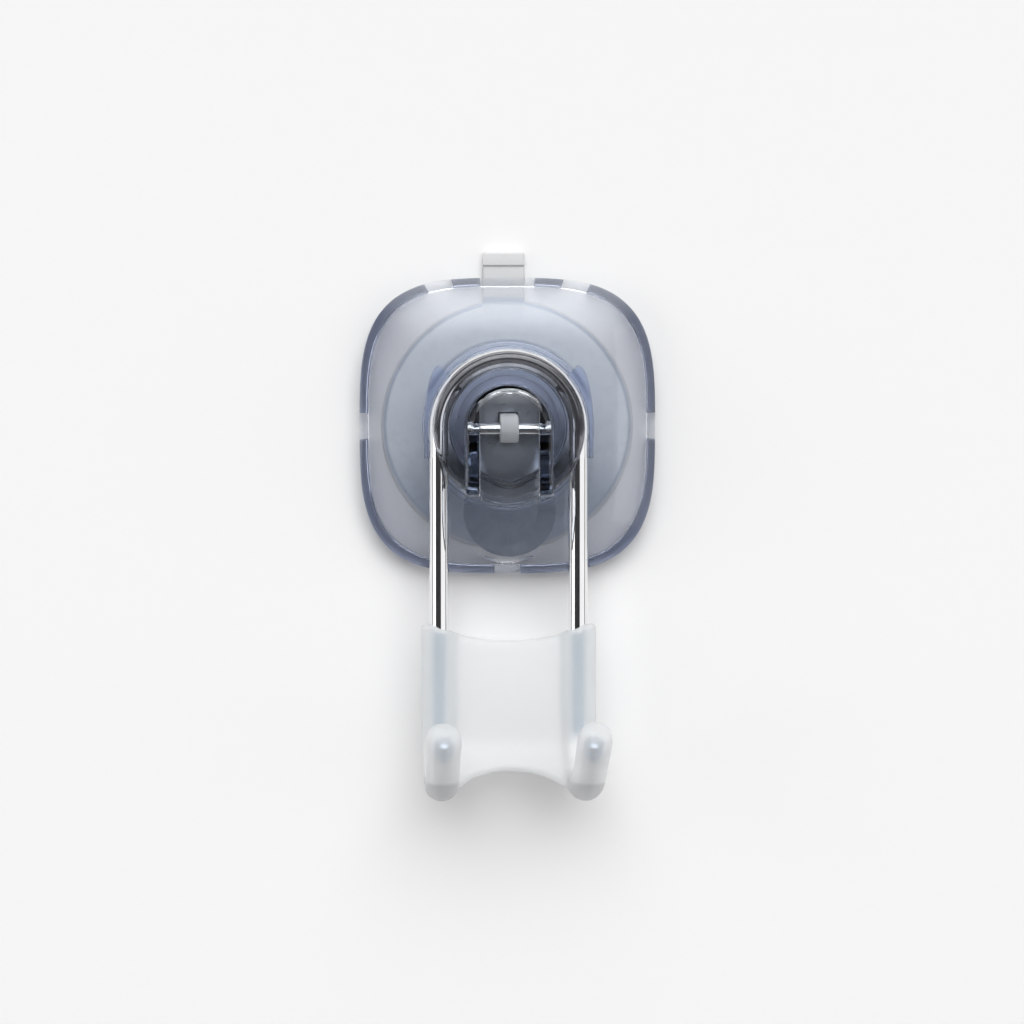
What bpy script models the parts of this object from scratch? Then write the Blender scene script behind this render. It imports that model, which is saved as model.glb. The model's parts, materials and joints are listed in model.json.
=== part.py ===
"""A lever-lock suction hook: a smoky clear housing on a suction cup, carrying a bent wire double hook.

Every piece is drawn in the wall's plane: x is right, y is up and z is out from the wall. One empty then
turns the whole, so that +Z is up and the wall is the plane Y = 0.
"""

import math

import bmesh
import bpy

MM = 0.001

# Fits between pieces
GAP = 0.3 * MM
PIN_CLEAR = 0.15 * MM
CAM_CLEAR = 0.1 * MM
SLOT_CLEAR = 0.35 * MM
EYE_CLEAR = 0.3 * MM
OVERLAP = 0.5 * MM

# Suction cup
CUP_RADIUS = 31.2 * MM
CUP_EDGE = 0.7 * MM
CUP_SKIN = 1.9 * MM
CUP_SEAL_WIDTH = 8.2 * MM
CUP_POCKET = 2.9 * MM
CUP_BOSS_WALL = 2.6 * MM
CUP_BOSS_LIP = 0.8 * MM
TAB_WIDTH = 10.3 * MM
TAB_REACH = 43.0 * MM
TAB_THICK = 1.2 * MM
TAB_LIFT = 0.25 * MM
TAB_BEAD_LENGTH = 3.0 * MM
TAB_BEAD_RISE = 0.6 * MM
TAB_CORNER = 0.4 * MM
TAB_ASIDE = -0.9 * MM

# Stem and pivot pin
STEM_WIDTH = 4.6 * MM
STEM_HEIGHT = 6.8 * MM
FOOT_RADIUS = 9.1 * MM
FOOT_THICK = 1.7 * MM
PIN_RADIUS = 1.4 * MM

# Housing shell
SHELL_HALF = 36.7 * MM
SHELL_POWER = 3.4
SKIRT_LIFT = 0.4 * MM
SKIRT_WALL = 1.9 * MM
RIM_FRONT = 5.2 * MM
RIM_ROUND = 1.0 * MM
DOME_RISE = 3.0 * MM
FLANGE_THICK = 2.0 * MM
TURRET_MARGIN = 0.5 * MM
TURRET_WALL = 2.0 * MM
PLATFORM_FRONT = 11.4 * MM
PLATFORM_THICK = 2.2 * MM
LIP_WALL = 1.3 * MM
LIP_UNDER_WIRE = 0.6 * MM
RIB_RADIUS = 26.2 * MM
RIB_WIDTH = 1.6 * MM
SIDE_WINDOW = 6.7 * MM
TOP_WINDOW = 7.2 * MM
TOP_WINDOW_AT = 17.25 * MM
TAB_WINDOW = 13.7 * MM
EAR_WALL = 0.9 * MM
EAR_TIP_PROUD = 1.7 * MM
EAR_TIP_ANGLE = math.radians(41.7)
EAR_FOOT_DROP = 7.4 * MM

# Hub collar and cam plate
CAP_COVER = 1.5 * MM
CAP_THICK = 3.0 * MM
CAP_ROUND = 1.0 * MM
REAR_STEP = 2.8 * MM
REAR_THICK = 1.5 * MM
COLLAR_WALL = 1.2 * MM
FLOOR_THICK = 2.2 * MM
SLOT_HALF = 10.7 * MM
SLOT_STEP = 0.15 * MM
CAM_PLATE_THICK = 0.7 * MM

# Lever: cams of constant fall, so that the stem sinks evenly as the lever opens
LEVER_OPEN = math.radians(72)
CAM_HEIGHT = 10.5 * MM
CAM_FALL = 1.6 * MM
CHEEK_THICK = 2.8 * MM
CHEEK_DROP = 16.0 * MM
NOSE_TRIM = 0.15 * MM
FACE_THICK = 1.8 * MM
FLARE_DROP = 11.0 * MM
FLARE_WIDTH = 2.3 * MM
PADDLE_THICK = 2.6 * MM
PADDLE_RADIUS = 11.3 * MM
PADDLE_DROP = 20.0 * MM
PADDLE_BEND_DROP = 12.0 * MM
PADDLE_SET_BACK = 4.5 * MM
DISH_RADIUS = 32.0 * MM
DISH_DEPTH = 0.9 * MM
DISH_DROP = 19.5 * MM

# Wire hook
WIRE_RADIUS = 2.4 * MM
ARCH_RADIUS = 17.1 * MM
LEG_DROP = 75.6 * MM
HOOK_BEND = 11.0 * MM
HOOK_TURN = math.radians(138)
HOOK_RUN = 12.0 * MM
HOOK_LEAN = math.tan(math.radians(4.2))
HOOK_SPLAY = math.tan(math.radians(2.2))

# Grip sleeve
SLEEVE_RADIUS = 4.6 * MM
SLEEVE_TIP_RADIUS = 4.2 * MM
SLEEVE_TIP_COVER = 3.4 * MM
SLEEVE_TOP_DROP = 52.5 * MM
SLEEVE_TOP_ARC = 50.5 * MM
WEB_THICK = 2.4 * MM
WEB_FOOT_DROP = 84.2 * MM
WEB_FOOT_ARC = 16.9 * MM

# Places that follow from the stack of pieces, measured out from the wall
FOOT_BACK = CUP_POCKET + CUP_SKIN + GAP
FOOT_FRONT = FOOT_BACK + FOOT_THICK
BOSS_FRONT = FOOT_FRONT + GAP + CUP_BOSS_LIP
FLOOR_BACK = BOSS_FRONT + GAP
FLOOR_FRONT = FLOOR_BACK + FLOOR_THICK
CAM_PLATE_FRONT = FLOOR_FRONT + GAP + CAM_PLATE_THICK
PIN_OUT = CAM_PLATE_FRONT + CAM_CLEAR + CAM_HEIGHT
REAR_BACK = PLATFORM_FRONT + GAP
REAR_FRONT = REAR_BACK + REAR_THICK
WIRE_OUT = REAR_FRONT + GAP + WIRE_RADIUS
CAP_BACK = WIRE_OUT + WIRE_RADIUS + GAP
CAP_FRONT = CAP_BACK + CAP_THICK

# Radii and widths that follow from the pieces they fit
NECK_RADIUS = ARCH_RADIUS - WIRE_RADIUS - GAP
REAR_RADIUS = NECK_RADIUS + REAR_STEP
CAP_RADIUS = ARCH_RADIUS + CAP_COVER
EAR_INNER = ARCH_RADIUS + WIRE_RADIUS + GAP
EAR_OUTER = EAR_INNER + EAR_WALL
TURRET_RADIUS = EAR_OUTER + TURRET_MARGIN
EAR_TIP_RADIUS = TURRET_RADIUS + EAR_TIP_PROUD
CAVITY_RADIUS = NECK_RADIUS - COLLAR_WALL
BOSS_RADIUS = FOOT_RADIUS + GAP + CUP_BOSS_WALL
NOSE_RADIUS = SLOT_HALF - SLOT_CLEAR
LEVER_HALF = NOSE_RADIUS - NOSE_TRIM
FACE_BACK = STEM_HEIGHT / 2 + EYE_CLEAR
FACE_FRONT = FACE_BACK + FACE_THICK

# Facets
TURN_STEPS = 48
RING_STEPS = 64
ARC_STEPS = 12
TUBE_SIDES = 4
DOME_STEPS = 6
POCKET_STEPS = 3
ROUND_STEPS = 4
SHARP_ANGLE = math.radians(35)
WELD = 0.001 * MM
FAR = 60.0 * MM


def clear_scene():
    for obj in list(bpy.data.objects):
        bpy.data.objects.remove(obj)


def new_collection(name):
    made = bpy.data.collections.new(name)
    bpy.context.scene.collection.children.link(made)
    return made


def add(name, data, where, place=(0, 0, 0)):
    """An object in the wall's plane, carried by the empty that stands the assembly up."""
    obj = bpy.data.objects.new(name, data)
    where.objects.link(obj)
    obj.parent = seat
    obj.location = place
    if where is cutters:
        obj.hide_render = True
        obj.display_type = "WIRE"
    bpy.context.view_layer.update()
    return obj


def paint(obj, colour, roughness, metallic=0.0, transmission=0.0):
    made = bpy.data.materials.new(obj.name)
    made.use_nodes = True
    shader = made.node_tree.nodes["Principled BSDF"]
    shader.inputs["Base Color"].default_value = (*colour, 1)
    shader.inputs["Roughness"].default_value = roughness
    shader.inputs["Metallic"].default_value = metallic
    shader.inputs["Transmission Weight"].default_value = transmission
    obj.data.materials.append(made)


def smooth(mesh):
    mesh.shade_smooth()
    mesh.set_sharp_from_angle(angle=SHARP_ANGLE)


def face_out(bm):
    """Turn every face round where the closed surface encloses a negative volume."""
    if bm.calc_volume(signed=True) < 0:
        bmesh.ops.reverse_faces(bm, faces=bm.faces)


def from_bmesh(name, bm, where, place=(0, 0, 0)):
    face_out(bm)
    mesh = bpy.data.meshes.new(name)
    bm.to_mesh(mesh)
    bm.free()
    smooth(mesh)
    return add(name, mesh, where, place)


def box(name, low, high, where):
    bm = bmesh.new()
    bmesh.ops.create_cube(bm, size=1)
    for vert in bm.verts:
        vert.co = [a + (b - a) * (c + 0.5) for a, b, c in zip(low, high, vert.co)]
    return from_bmesh(name, bm, where)


def ball(name, radius, centre, where):
    bm = bmesh.new()
    bmesh.ops.create_uvsphere(bm, u_segments=TURN_STEPS, v_segments=TURN_STEPS // 2, radius=radius)
    return from_bmesh(name, bm, where, centre)


def turned(name, profile, where):
    """A profile of (radius, height) points, run down its outer side, turned round the hub's axis."""
    mesh = bpy.data.meshes.new(name)
    edges = [(i, i + 1) for i in range(len(profile) - 1)]
    mesh.from_pydata([(radius, 0, height) for radius, height in profile], edges, [])
    obj = add(name, mesh, where)
    screw = obj.modifiers.new("turn", "SCREW")
    screw.steps = TURN_STEPS
    screw.render_steps = TURN_STEPS
    screw.use_merge_vertices = True
    screw.merge_threshold = WELD
    screw.use_smooth_shade = True
    return obj


def drum(name, radius, back, front, where):
    return turned(name, [(0, front), (radius, front), (radius, back), (0, back)], where)


def curve_solid(name, curve, where, place=(0, 0, 0), turn=(0, 0, 0)):
    """The closed mesh that a curve draws, in the curve's place."""
    guide = add(name + "_guide", curve, where, place)
    guide.rotation_euler = turn
    bpy.context.view_layer.update()
    graph = bpy.context.evaluated_depsgraph_get()
    mesh = bpy.data.meshes.new_from_object(guide.evaluated_get(graph))
    bm = bmesh.new()
    bm.from_mesh(mesh)
    bmesh.ops.remove_doubles(bm, verts=bm.verts, dist=WELD)
    face_out(bm)
    bm.to_mesh(mesh)
    bm.free()
    smooth(mesh)
    obj = add(name, mesh, where, place)
    obj.rotation_euler = turn
    bpy.data.objects.remove(guide)
    bpy.context.view_layer.update()
    return obj


def add_loop(curve, points, closed, radii=None):
    spline = curve.splines.new("POLY")
    spline.points.add(len(points) - 1)
    for i, (knot, point) in enumerate(zip(spline.points, points)):
        knot.co = (*point, 0, 1) if len(point) == 2 else (*point, 1)
        knot.radius = radii[i] if radii else 1
    spline.use_cyclic_u = closed


def plate(name, loops, back, front, where):
    """Outlines in the wall's plane, filled and extruded from one depth to another."""
    curve = bpy.data.curves.new(name, "CURVE")
    curve.dimensions = "2D"
    curve.fill_mode = "BOTH"
    curve.extrude = (front - back) / 2
    for points in loops:
        add_loop(curve, points, True)
    return curve_solid(name, curve, where, (0, 0, (front + back) / 2))


def side_plate(name, points, half_width, where, out=0.0, aside=0.0):
    """An outline of (out, up) points, seen from the side and extruded across x."""
    curve = bpy.data.curves.new(name, "CURVE")
    curve.dimensions = "2D"
    curve.fill_mode = "BOTH"
    curve.extrude = half_width
    add_loop(curve, points, True)
    return curve_solid(name, curve, where, (aside, 0, out), (0, -math.pi / 2, 0))


def tube(name, points, radii, where):
    """A round bar along points, with its own radius at each."""
    curve = bpy.data.curves.new(name, "CURVE")
    curve.dimensions = "3D"
    curve.bevel_depth = 1.0
    curve.bevel_resolution = TUBE_SIDES
    curve.use_fill_caps = True
    add_loop(curve, points, False, radii)
    return curve_solid(name, curve, where)


def cross_bar(name, radius, half_length, where, out):
    """A round bar across x, centred on the pivot."""
    bm = bmesh.new()
    bmesh.ops.create_cone(
        bm, cap_ends=True, segments=TURN_STEPS // 2, radius1=radius, radius2=radius, depth=2 * half_length
    )
    for vert in bm.verts:
        vert.co = (vert.co.z, vert.co.x, vert.co.y)
    return from_bmesh(name, bm, where, (0, 0, out))


def combine(obj, other, operation):
    made = obj.modifiers.new(operation.lower() + "_" + other.name, "BOOLEAN")
    made.operation = operation
    made.object = other
    made.solver = "EXACT"


def arc(centre, radius, start, end, steps):
    """Points on a circle in a plane, from one angle to another."""
    turns = [start + (end - start) * i / steps for i in range(steps + 1)]
    return [(centre[0] + radius * math.cos(t), centre[1] + radius * math.sin(t)) for t in turns]


def stem_hole():
    """The outline that the stem slides through."""
    across, up = STEM_WIDTH / 2 + GAP, STEM_HEIGHT / 2 + GAP
    return [(-across, -up), (across, -up), (across, up), (-across, up)]


def cup_back_at(radius):
    """How far the cup's sealing ring stands off the wall at a radius: thin at its edge, full inside."""
    inward = min(1.0, (CUP_RADIUS - radius) / CUP_SEAL_WIDTH)
    return CUP_EDGE + (CUP_SKIN - CUP_EDGE) * inward


def make_suction_cup():
    """A soft disc: a flat sealing ring, a dished pocket and a boss that grips the stem's foot."""
    seal_inner = CUP_RADIUS - CUP_SEAL_WIDTH
    foot_hole = FOOT_RADIUS + GAP
    neck_hole = math.hypot(STEM_WIDTH / 2, STEM_HEIGHT / 2) + GAP
    shares = [i / POCKET_STEPS for i in range(1, POCKET_STEPS + 1)]
    pocket = [(seal_inner - s * (seal_inner - foot_hole), CUP_POCKET * s * s * (3 - 2 * s)) for s in shares]
    root = BOSS_RADIUS + CUP_SKIN / 2
    upper = [(radius + CUP_SKIN / 2, out + CUP_SKIN) for radius, out in reversed(pocket) if radius > root]
    profile = [
        (0, FOOT_BACK - GAP),
        (foot_hole, FOOT_BACK - GAP),
        (foot_hole, FOOT_FRONT + GAP),
        (neck_hole, FOOT_FRONT + GAP),
        (neck_hole, BOSS_FRONT),
        (BOSS_RADIUS, BOSS_FRONT),
        (BOSS_RADIUS, CUP_POCKET + CUP_SKIN),
        *upper,
        (seal_inner, cup_back_at(seal_inner)),
        (CUP_RADIUS, CUP_EDGE),
        (CUP_RADIUS, 0),
        (seal_inner, 0),
        *pocket,
        (0, CUP_POCKET),
    ]
    cup = turned("suction_cup", profile, parts)
    bead_foot = TAB_REACH - TAB_BEAD_LENGTH
    front = TAB_LIFT + TAB_THICK
    strip = [
        (TAB_LIFT, CUP_RADIUS - CUP_SEAL_WIDTH / 2),
        (front, CUP_RADIUS - CUP_SEAL_WIDTH / 2),
        (front, bead_foot),
        (front + TAB_BEAD_RISE, bead_foot + TAB_BEAD_RISE),
        (front + TAB_BEAD_RISE, TAB_REACH - TAB_CORNER),
        (front + TAB_BEAD_RISE - TAB_CORNER, TAB_REACH),
        (TAB_LIFT + TAB_CORNER, TAB_REACH),
        (TAB_LIFT, TAB_REACH - TAB_CORNER),
    ]
    combine(cup, side_plate("tab_strip", strip, TAB_WIDTH / 2, cutters, aside=TAB_ASIDE), "UNION")
    paint(cup, (0.80, 0.84, 0.88), 0.35, transmission=0.5)


def make_stem():
    """A flat white bar with a round eye for the pin and a disc foot held in the cup's boss."""
    half = STEM_HEIGHT / 2
    eye = arc((0, 0), half, -math.pi / 2, math.pi / 2, ARC_STEPS)
    shank = FOOT_BACK + FOOT_THICK / 2 - PIN_OUT
    stem = side_plate("stem", [(shank, -half), *eye, (shank, half)], STEM_WIDTH / 2, parts, PIN_OUT)
    combine(stem, drum("stem_foot", FOOT_RADIUS, FOOT_BACK, FOOT_FRONT, cutters), "UNION")
    combine(stem, cross_bar("stem_eye", PIN_RADIUS + PIN_CLEAR, STEM_WIDTH, cutters, PIN_OUT), "DIFFERENCE")
    paint(stem, (0.9, 0.9, 0.9), 0.4)


def make_pivot_pin():
    """A plain steel pin across the lever, through the stem's eye."""
    pin = cross_bar("pivot_pin", PIN_RADIUS, LEVER_HALF - GAP, parts, PIN_OUT)
    paint(pin, (0.8, 0.8, 0.8), 0.15, metallic=1.0)


def make_cam_plate():
    """A thin steel disc on the collar's floor, which the cams press on."""
    disc = arc((0, 0), CAVITY_RADIUS - GAP, 0, 2 * math.pi, TURN_STEPS)[:-1]
    cam_plate = plate("cam_plate", [disc, stem_hole()], FLOOR_FRONT + GAP, CAM_PLATE_FRONT, parts)
    paint(cam_plate, (0.55, 0.56, 0.58), 0.3, metallic=1.0)


def make_hub_collar():
    """A spool: a cap in front of the wire, a neck inside its arch, a rear flange and a floor for the cams."""
    corner = (CAP_RADIUS - CAP_ROUND, CAP_FRONT - CAP_ROUND)
    profile = [
        (0, CAP_FRONT),
        *arc(corner, CAP_ROUND, math.pi / 2, 0, ROUND_STEPS),
        (CAP_RADIUS, CAP_BACK),
        (NECK_RADIUS, CAP_BACK),
        (NECK_RADIUS, REAR_FRONT),
        (REAR_RADIUS, REAR_FRONT),
        (REAR_RADIUS, REAR_BACK),
        (NECK_RADIUS, REAR_BACK),
        (NECK_RADIUS, FLOOR_BACK),
        (0, FLOOR_BACK),
    ]
    collar = turned("hub_collar", profile, parts)
    slot_back = REAR_FRONT + SLOT_STEP
    cavity = drum("collar_cavity", CAVITY_RADIUS, FLOOR_FRONT, slot_back + OVERLAP, cutters)
    combine(collar, cavity, "DIFFERENCE")
    crown = arc((0, 0), SLOT_HALF, 0, math.pi, 2 * ARC_STEPS)
    slot = [*crown, (-SLOT_HALF, -FAR), (SLOT_HALF, -FAR)]
    combine(collar, plate("collar_slot", [slot], slot_back, CAP_FRONT + FAR, cutters), "DIFFERENCE")
    through = plate("collar_stem_hole", [stem_hole()], FLOOR_BACK - FAR, slot_back, cutters)
    combine(collar, through, "DIFFERENCE")
    paint(collar, (0.25, 0.34, 0.46), 0.08, transmission=0.8)


def shell_ring(half, power, out):
    """A ring between a circle (power 2) and a rounded square (higher powers), all round the hub."""
    points = []
    for i in range(RING_STEPS):
        turn = 2 * math.pi * i / RING_STEPS
        across, up = math.cos(turn), math.sin(turn)
        reach = half / (abs(across) ** power + abs(up) ** power) ** (1 / power)
        points.append((reach * across, reach * up, out))
    return points


def dome_ring(half, drop):
    """A ring of the dome: round at the turret, squarish and lower at the rim."""
    along = (half - TURRET_RADIUS) / (SHELL_HALF - TURRET_RADIUS)
    power = 2 + (SHELL_POWER - 2) * max(along, 0)
    return shell_ring(half, power, RIM_FRONT + DOME_RISE * (1 - along * abs(along)) - drop)


def ear_outline(side):
    """A thin wall along one leg of the wire, from below the hub's middle to a pointed top."""
    tip = (EAR_TIP_RADIUS * math.cos(EAR_TIP_ANGLE), EAR_TIP_RADIUS * math.sin(EAR_TIP_ANGLE))
    points = [(EAR_INNER, -EAR_FOOT_DROP), *arc((0, 0), EAR_INNER, 0, EAR_TIP_ANGLE, ARC_STEPS // 2), tip]
    turns = [math.pi / 2 * i / ROUND_STEPS for i in range(1, ROUND_STEPS + 1)]
    points += [(tip[0] + (EAR_OUTER - tip[0]) * math.sin(t), tip[1] * math.cos(t)) for t in turns]
    points.append((EAR_OUTER, -EAR_FOOT_DROP))
    return [(side * x, y) for x, y in points]


def make_housing_shell():
    """A squarish dome with a skirt, a round turret for the collar, a rib on the cup, and two ears."""
    hole = NECK_RADIUS + GAP
    lip_front = WIRE_OUT - WIRE_RADIUS - LIP_UNDER_WIRE
    platform_back = PLATFORM_FRONT - PLATFORM_THICK
    well = TURRET_RADIUS - TURRET_WALL
    rib_outer, rib_inner = RIB_RADIUS + RIB_WIDTH / 2, RIB_RADIUS - RIB_WIDTH / 2
    rib_back = cup_back_at(rib_inner) + GAP
    skirt_inner = SHELL_HALF - SKIRT_WALL
    under = FLANGE_THICK
    span = SHELL_HALF - RIM_ROUND - TURRET_RADIUS
    rim = arc((SHELL_HALF - RIM_ROUND, RIM_FRONT - RIM_ROUND), RIM_ROUND, math.pi / 2, 0, ROUND_STEPS)
    rings = [
        shell_ring(hole, 2, PLATFORM_FRONT),
        shell_ring(TURRET_RADIUS - LIP_WALL, 2, PLATFORM_FRONT),
        shell_ring(TURRET_RADIUS - LIP_WALL, 2, lip_front),
        shell_ring(TURRET_RADIUS, 2, lip_front),
        *[dome_ring(TURRET_RADIUS + span * i / DOME_STEPS, 0) for i in range(DOME_STEPS + 1)],
        *[shell_ring(half, SHELL_POWER, out) for half, out in rim[1:]],
        shell_ring(SHELL_HALF, SHELL_POWER, SKIRT_LIFT),
        shell_ring(skirt_inner, SHELL_POWER, SKIRT_LIFT),
        dome_ring(skirt_inner, under),
        dome_ring((skirt_inner + rib_outer) / 2, under),
        shell_ring(rib_outer, 2, dome_ring(rib_outer, under)[0][2]),
        shell_ring(rib_outer, 2, rib_back),
        shell_ring(rib_inner, 2, rib_back),
        shell_ring(rib_inner, 2, dome_ring(rib_inner, under)[0][2]),
        shell_ring(well, 2, dome_ring(TURRET_RADIUS, under)[0][2]),
        shell_ring(well, 2, platform_back),
        shell_ring(hole, 2, platform_back),
    ]
    bm = bmesh.new()
    loops = [[bm.verts.new(point) for point in ring] for ring in rings]
    for first, second in zip(loops, loops[1:] + loops[:1]):
        for i in range(RING_STEPS):
            j = (i + 1) % RING_STEPS
            bm.faces.new((first[i], first[j], second[j], second[i]))
    shell = from_bmesh("housing_shell", bm, parts)
    for name, side in (("left", -1), ("right", 1)):
        ear = plate(name + "_ear", [ear_outline(side)], platform_back, CAP_BACK - 2 * GAP, cutters)
        combine(shell, ear, "UNION")
    window_front = RIM_FRONT - FLANGE_THICK + OVERLAP / 2
    deep = SHELL_HALF - 2 * SKIRT_WALL
    windows = {
        "left_window": ((-FAR, -SIDE_WINDOW / 2), (-deep, SIDE_WINDOW / 2)),
        "right_window": ((deep, -SIDE_WINDOW / 2), (FAR, SIDE_WINDOW / 2)),
        "foot_window": ((-SIDE_WINDOW / 2, -FAR), (SIDE_WINDOW / 2, -deep)),
        "tab_window": ((-TAB_WINDOW / 2, deep), (TAB_WINDOW / 2, FAR)),
    }
    for name, middle in (("top_left_window", -TOP_WINDOW_AT), ("top_right_window", TOP_WINDOW_AT)):
        windows[name] = ((middle - TOP_WINDOW / 2, deep), (middle + TOP_WINDOW / 2, FAR))
    for name, (low, high) in windows.items():
        combine(shell, box(name, (*low, -FAR), (*high, window_front), cutters), "DIFFERENCE")
    paint(shell, (0.42, 0.46, 0.56), 0.08, transmission=0.8)


def cam_points():
    """The cam's edge: an involute, whose reach towards the plate falls evenly as the lever turns."""
    points = []
    for i in range(ARC_STEPS + 1):
        turn = LEVER_OPEN * i / ARC_STEPS
        reach = CAM_HEIGHT - CAM_FALL * turn
        inward = reach * math.cos(turn) + CAM_FALL * math.sin(turn)
        up = reach * math.sin(turn) - CAM_FALL * math.cos(turn)
        points.append((-inward, up))
    return points


def paddle_front(drop):
    """How far the paddle's face stands in front of the pin: level, then bending back towards the toe."""
    bend_length = PADDLE_DROP + PADDLE_RADIUS - PADDLE_BEND_DROP
    along = max(0.0, (drop - PADDLE_BEND_DROP) / bend_length)
    return FACE_FRONT - PADDLE_SET_BACK * along ** 2


def lever_side():
    """The lever from the side, about its pin: face, paddle, cheek and cam, in (out, up) points."""
    toe = PADDLE_DROP + PADDLE_RADIUS
    steps = ARC_STEPS // 2
    drops = [PADDLE_BEND_DROP + (toe - PADDLE_BEND_DROP) * i / steps for i in range(steps + 1)]
    under = [drop for drop in reversed(drops) if drop > CHEEK_DROP] + [CHEEK_DROP]
    cam = cam_points()
    return [
        (FACE_FRONT, NOSE_RADIUS),
        *[(paddle_front(drop), -drop) for drop in drops],
        *[(paddle_front(drop) - PADDLE_THICK, -drop) for drop in under],
        (CAM_CLEAR - CAM_HEIGHT, -2 * CAM_FALL),
        *cam,
        (FACE_BACK, cam[-1][1]),
        (FACE_BACK, NOSE_RADIUS),
    ]


def make_lever_bell():
    """The space that the lever's face keeps to: a ball about the pin, drawn down and flared to the paddle."""
    crown = arc((0, 0), NOSE_RADIUS, math.pi / 2, 0, ARC_STEPS)
    foot = NOSE_RADIUS + FLARE_WIDTH
    flare = [(NOSE_RADIUS, -FLARE_DROP), (foot, -PADDLE_DROP), (foot, -FAR), (0, -FAR)]
    bell = turned("lever_bell", [(0, NOSE_RADIUS), *crown[1:], *flare], cutters)
    bell.location = (0, 0, PIN_OUT)
    bell.rotation_euler = (-math.pi / 2, 0, 0)
    bpy.context.view_layer.update()
    return bell


def make_lever():
    """A clear thumb lever: a rounded face, a paddle with a finger dish and two cheeks with cam edges."""
    lever = side_plate("lever", lever_side(), LEVER_HALF + PADDLE_RADIUS, parts, PIN_OUT)
    swell = math.acos(LEVER_HALF / PADDLE_RADIUS)
    crown = arc((0, 0), LEVER_HALF, 0, math.pi, 2 * ARC_STEPS)
    toe = arc((0, -PADDLE_DROP), PADDLE_RADIUS, math.pi - swell, 2 * math.pi + swell, 2 * ARC_STEPS)
    outline = plate("lever_outline", [[*crown, *toe]], PIN_OUT - FAR, PIN_OUT + FAR, cutters)
    combine(lever, outline, "INTERSECT")
    rounding = box("lever_rounding", (-FAR, -FAR, PIN_OUT), (FAR, FAR, PIN_OUT + FAR), cutters)
    combine(rounding, make_lever_bell(), "DIFFERENCE")
    combine(lever, rounding, "DIFFERENCE")
    channel = LEVER_HALF - CHEEK_THICK
    low, high = (-channel, -CHEEK_DROP, PIN_OUT - FAR), (channel, FAR, PIN_OUT + FACE_BACK)
    combine(lever, box("lever_channel", low, high, cutters), "DIFFERENCE")
    bore = cross_bar("lever_bore", PIN_RADIUS + PIN_CLEAR, FAR, cutters, PIN_OUT)
    combine(lever, bore, "DIFFERENCE")
    dish_out = PIN_OUT + paddle_front(DISH_DROP) + DISH_RADIUS - DISH_DEPTH
    combine(lever, ball("finger_dish", DISH_RADIUS, (0, -DISH_DROP, dish_out), cutters), "DIFFERENCE")
    paint(lever, (0.22, 0.27, 0.35), 0.08, transmission=0.8)


def hook_limb(side, start_drop, run):
    """Points down one leg, round its hook and up to the tip; the hook leans right and spreads a little."""
    points = [(0.0, start_drop)]
    for i in range(ARC_STEPS + 1):
        turn = HOOK_TURN * i / ARC_STEPS
        points.append((HOOK_BEND * (1 - math.cos(turn)), LEG_DROP + HOOK_BEND * math.sin(turn)))
    forward, drop = points[-1]
    points.append((forward + run * math.sin(HOOK_TURN), drop + run * math.cos(HOOK_TURN)))
    aside = HOOK_LEAN + side * HOOK_SPLAY
    return [(side * ARCH_RADIUS + f * aside, -d, WIRE_OUT + f) for f, d in points]


def make_wire_hook():
    """One chrome wire: an arch round the hub, two legs and two J-hooks."""
    arch = [(x, y, WIRE_OUT) for x, y in arc((0, 0), ARCH_RADIUS, math.pi, 0, 2 * ARC_STEPS)]
    left, right = hook_limb(-1, 0, HOOK_RUN), hook_limb(1, 0, HOOK_RUN)
    points = [*reversed(left[1:]), *arch, *right[1:]]
    wire = tube("wire_hook", points, [WIRE_RADIUS] * len(points), parts)
    paint(wire, (0.85, 0.85, 0.86), 0.06, metallic=1.0)


def sleeve_limb(name, side, where):
    """The soft sleeve on one hook, with a domed tip past the wire's end."""
    top = SLEEVE_TOP_DROP - SLEEVE_TIP_RADIUS * 2
    points = hook_limb(side, top, HOOK_RUN)
    base, end = points[-2], points[-1]
    ahead = [(b - a) / HOOK_RUN for a, b in zip(base, end)]
    radii = [SLEEVE_RADIUS] * 2 + [SLEEVE_TIP_RADIUS] * (len(points) - 2)
    for i in range(1, ROUND_STEPS + 1):
        lean = math.pi / 2 * i / (ROUND_STEPS + 1)
        reach = SLEEVE_TIP_COVER * math.sin(lean)
        points.append(tuple(e + reach * a for e, a in zip(end, ahead)))
        radii.append(SLEEVE_TIP_RADIUS * math.cos(lean))
    return tube(name, points, radii, where)


def web_side():
    """The web from the side: a strip that follows the wire down its leg and to the bottom of its bend."""
    half = WEB_THICK / 2
    line = [(0.0, SLEEVE_TOP_DROP - SLEEVE_TIP_RADIUS, 0.0)]
    for i in range(ARC_STEPS // 2 + 1):
        turn = math.pi / 2 * i / (ARC_STEPS // 2)
        line.append((HOOK_BEND * (1 - math.cos(turn)), LEG_DROP + HOOK_BEND * math.sin(turn), turn))
    front = [(f + half * math.cos(t), -d + half * math.sin(t)) for f, d, t in line]
    back = [(f - half * math.cos(t), -d - half * math.sin(t)) for f, d, t in line]
    return [*front, *reversed(back)]


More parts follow.
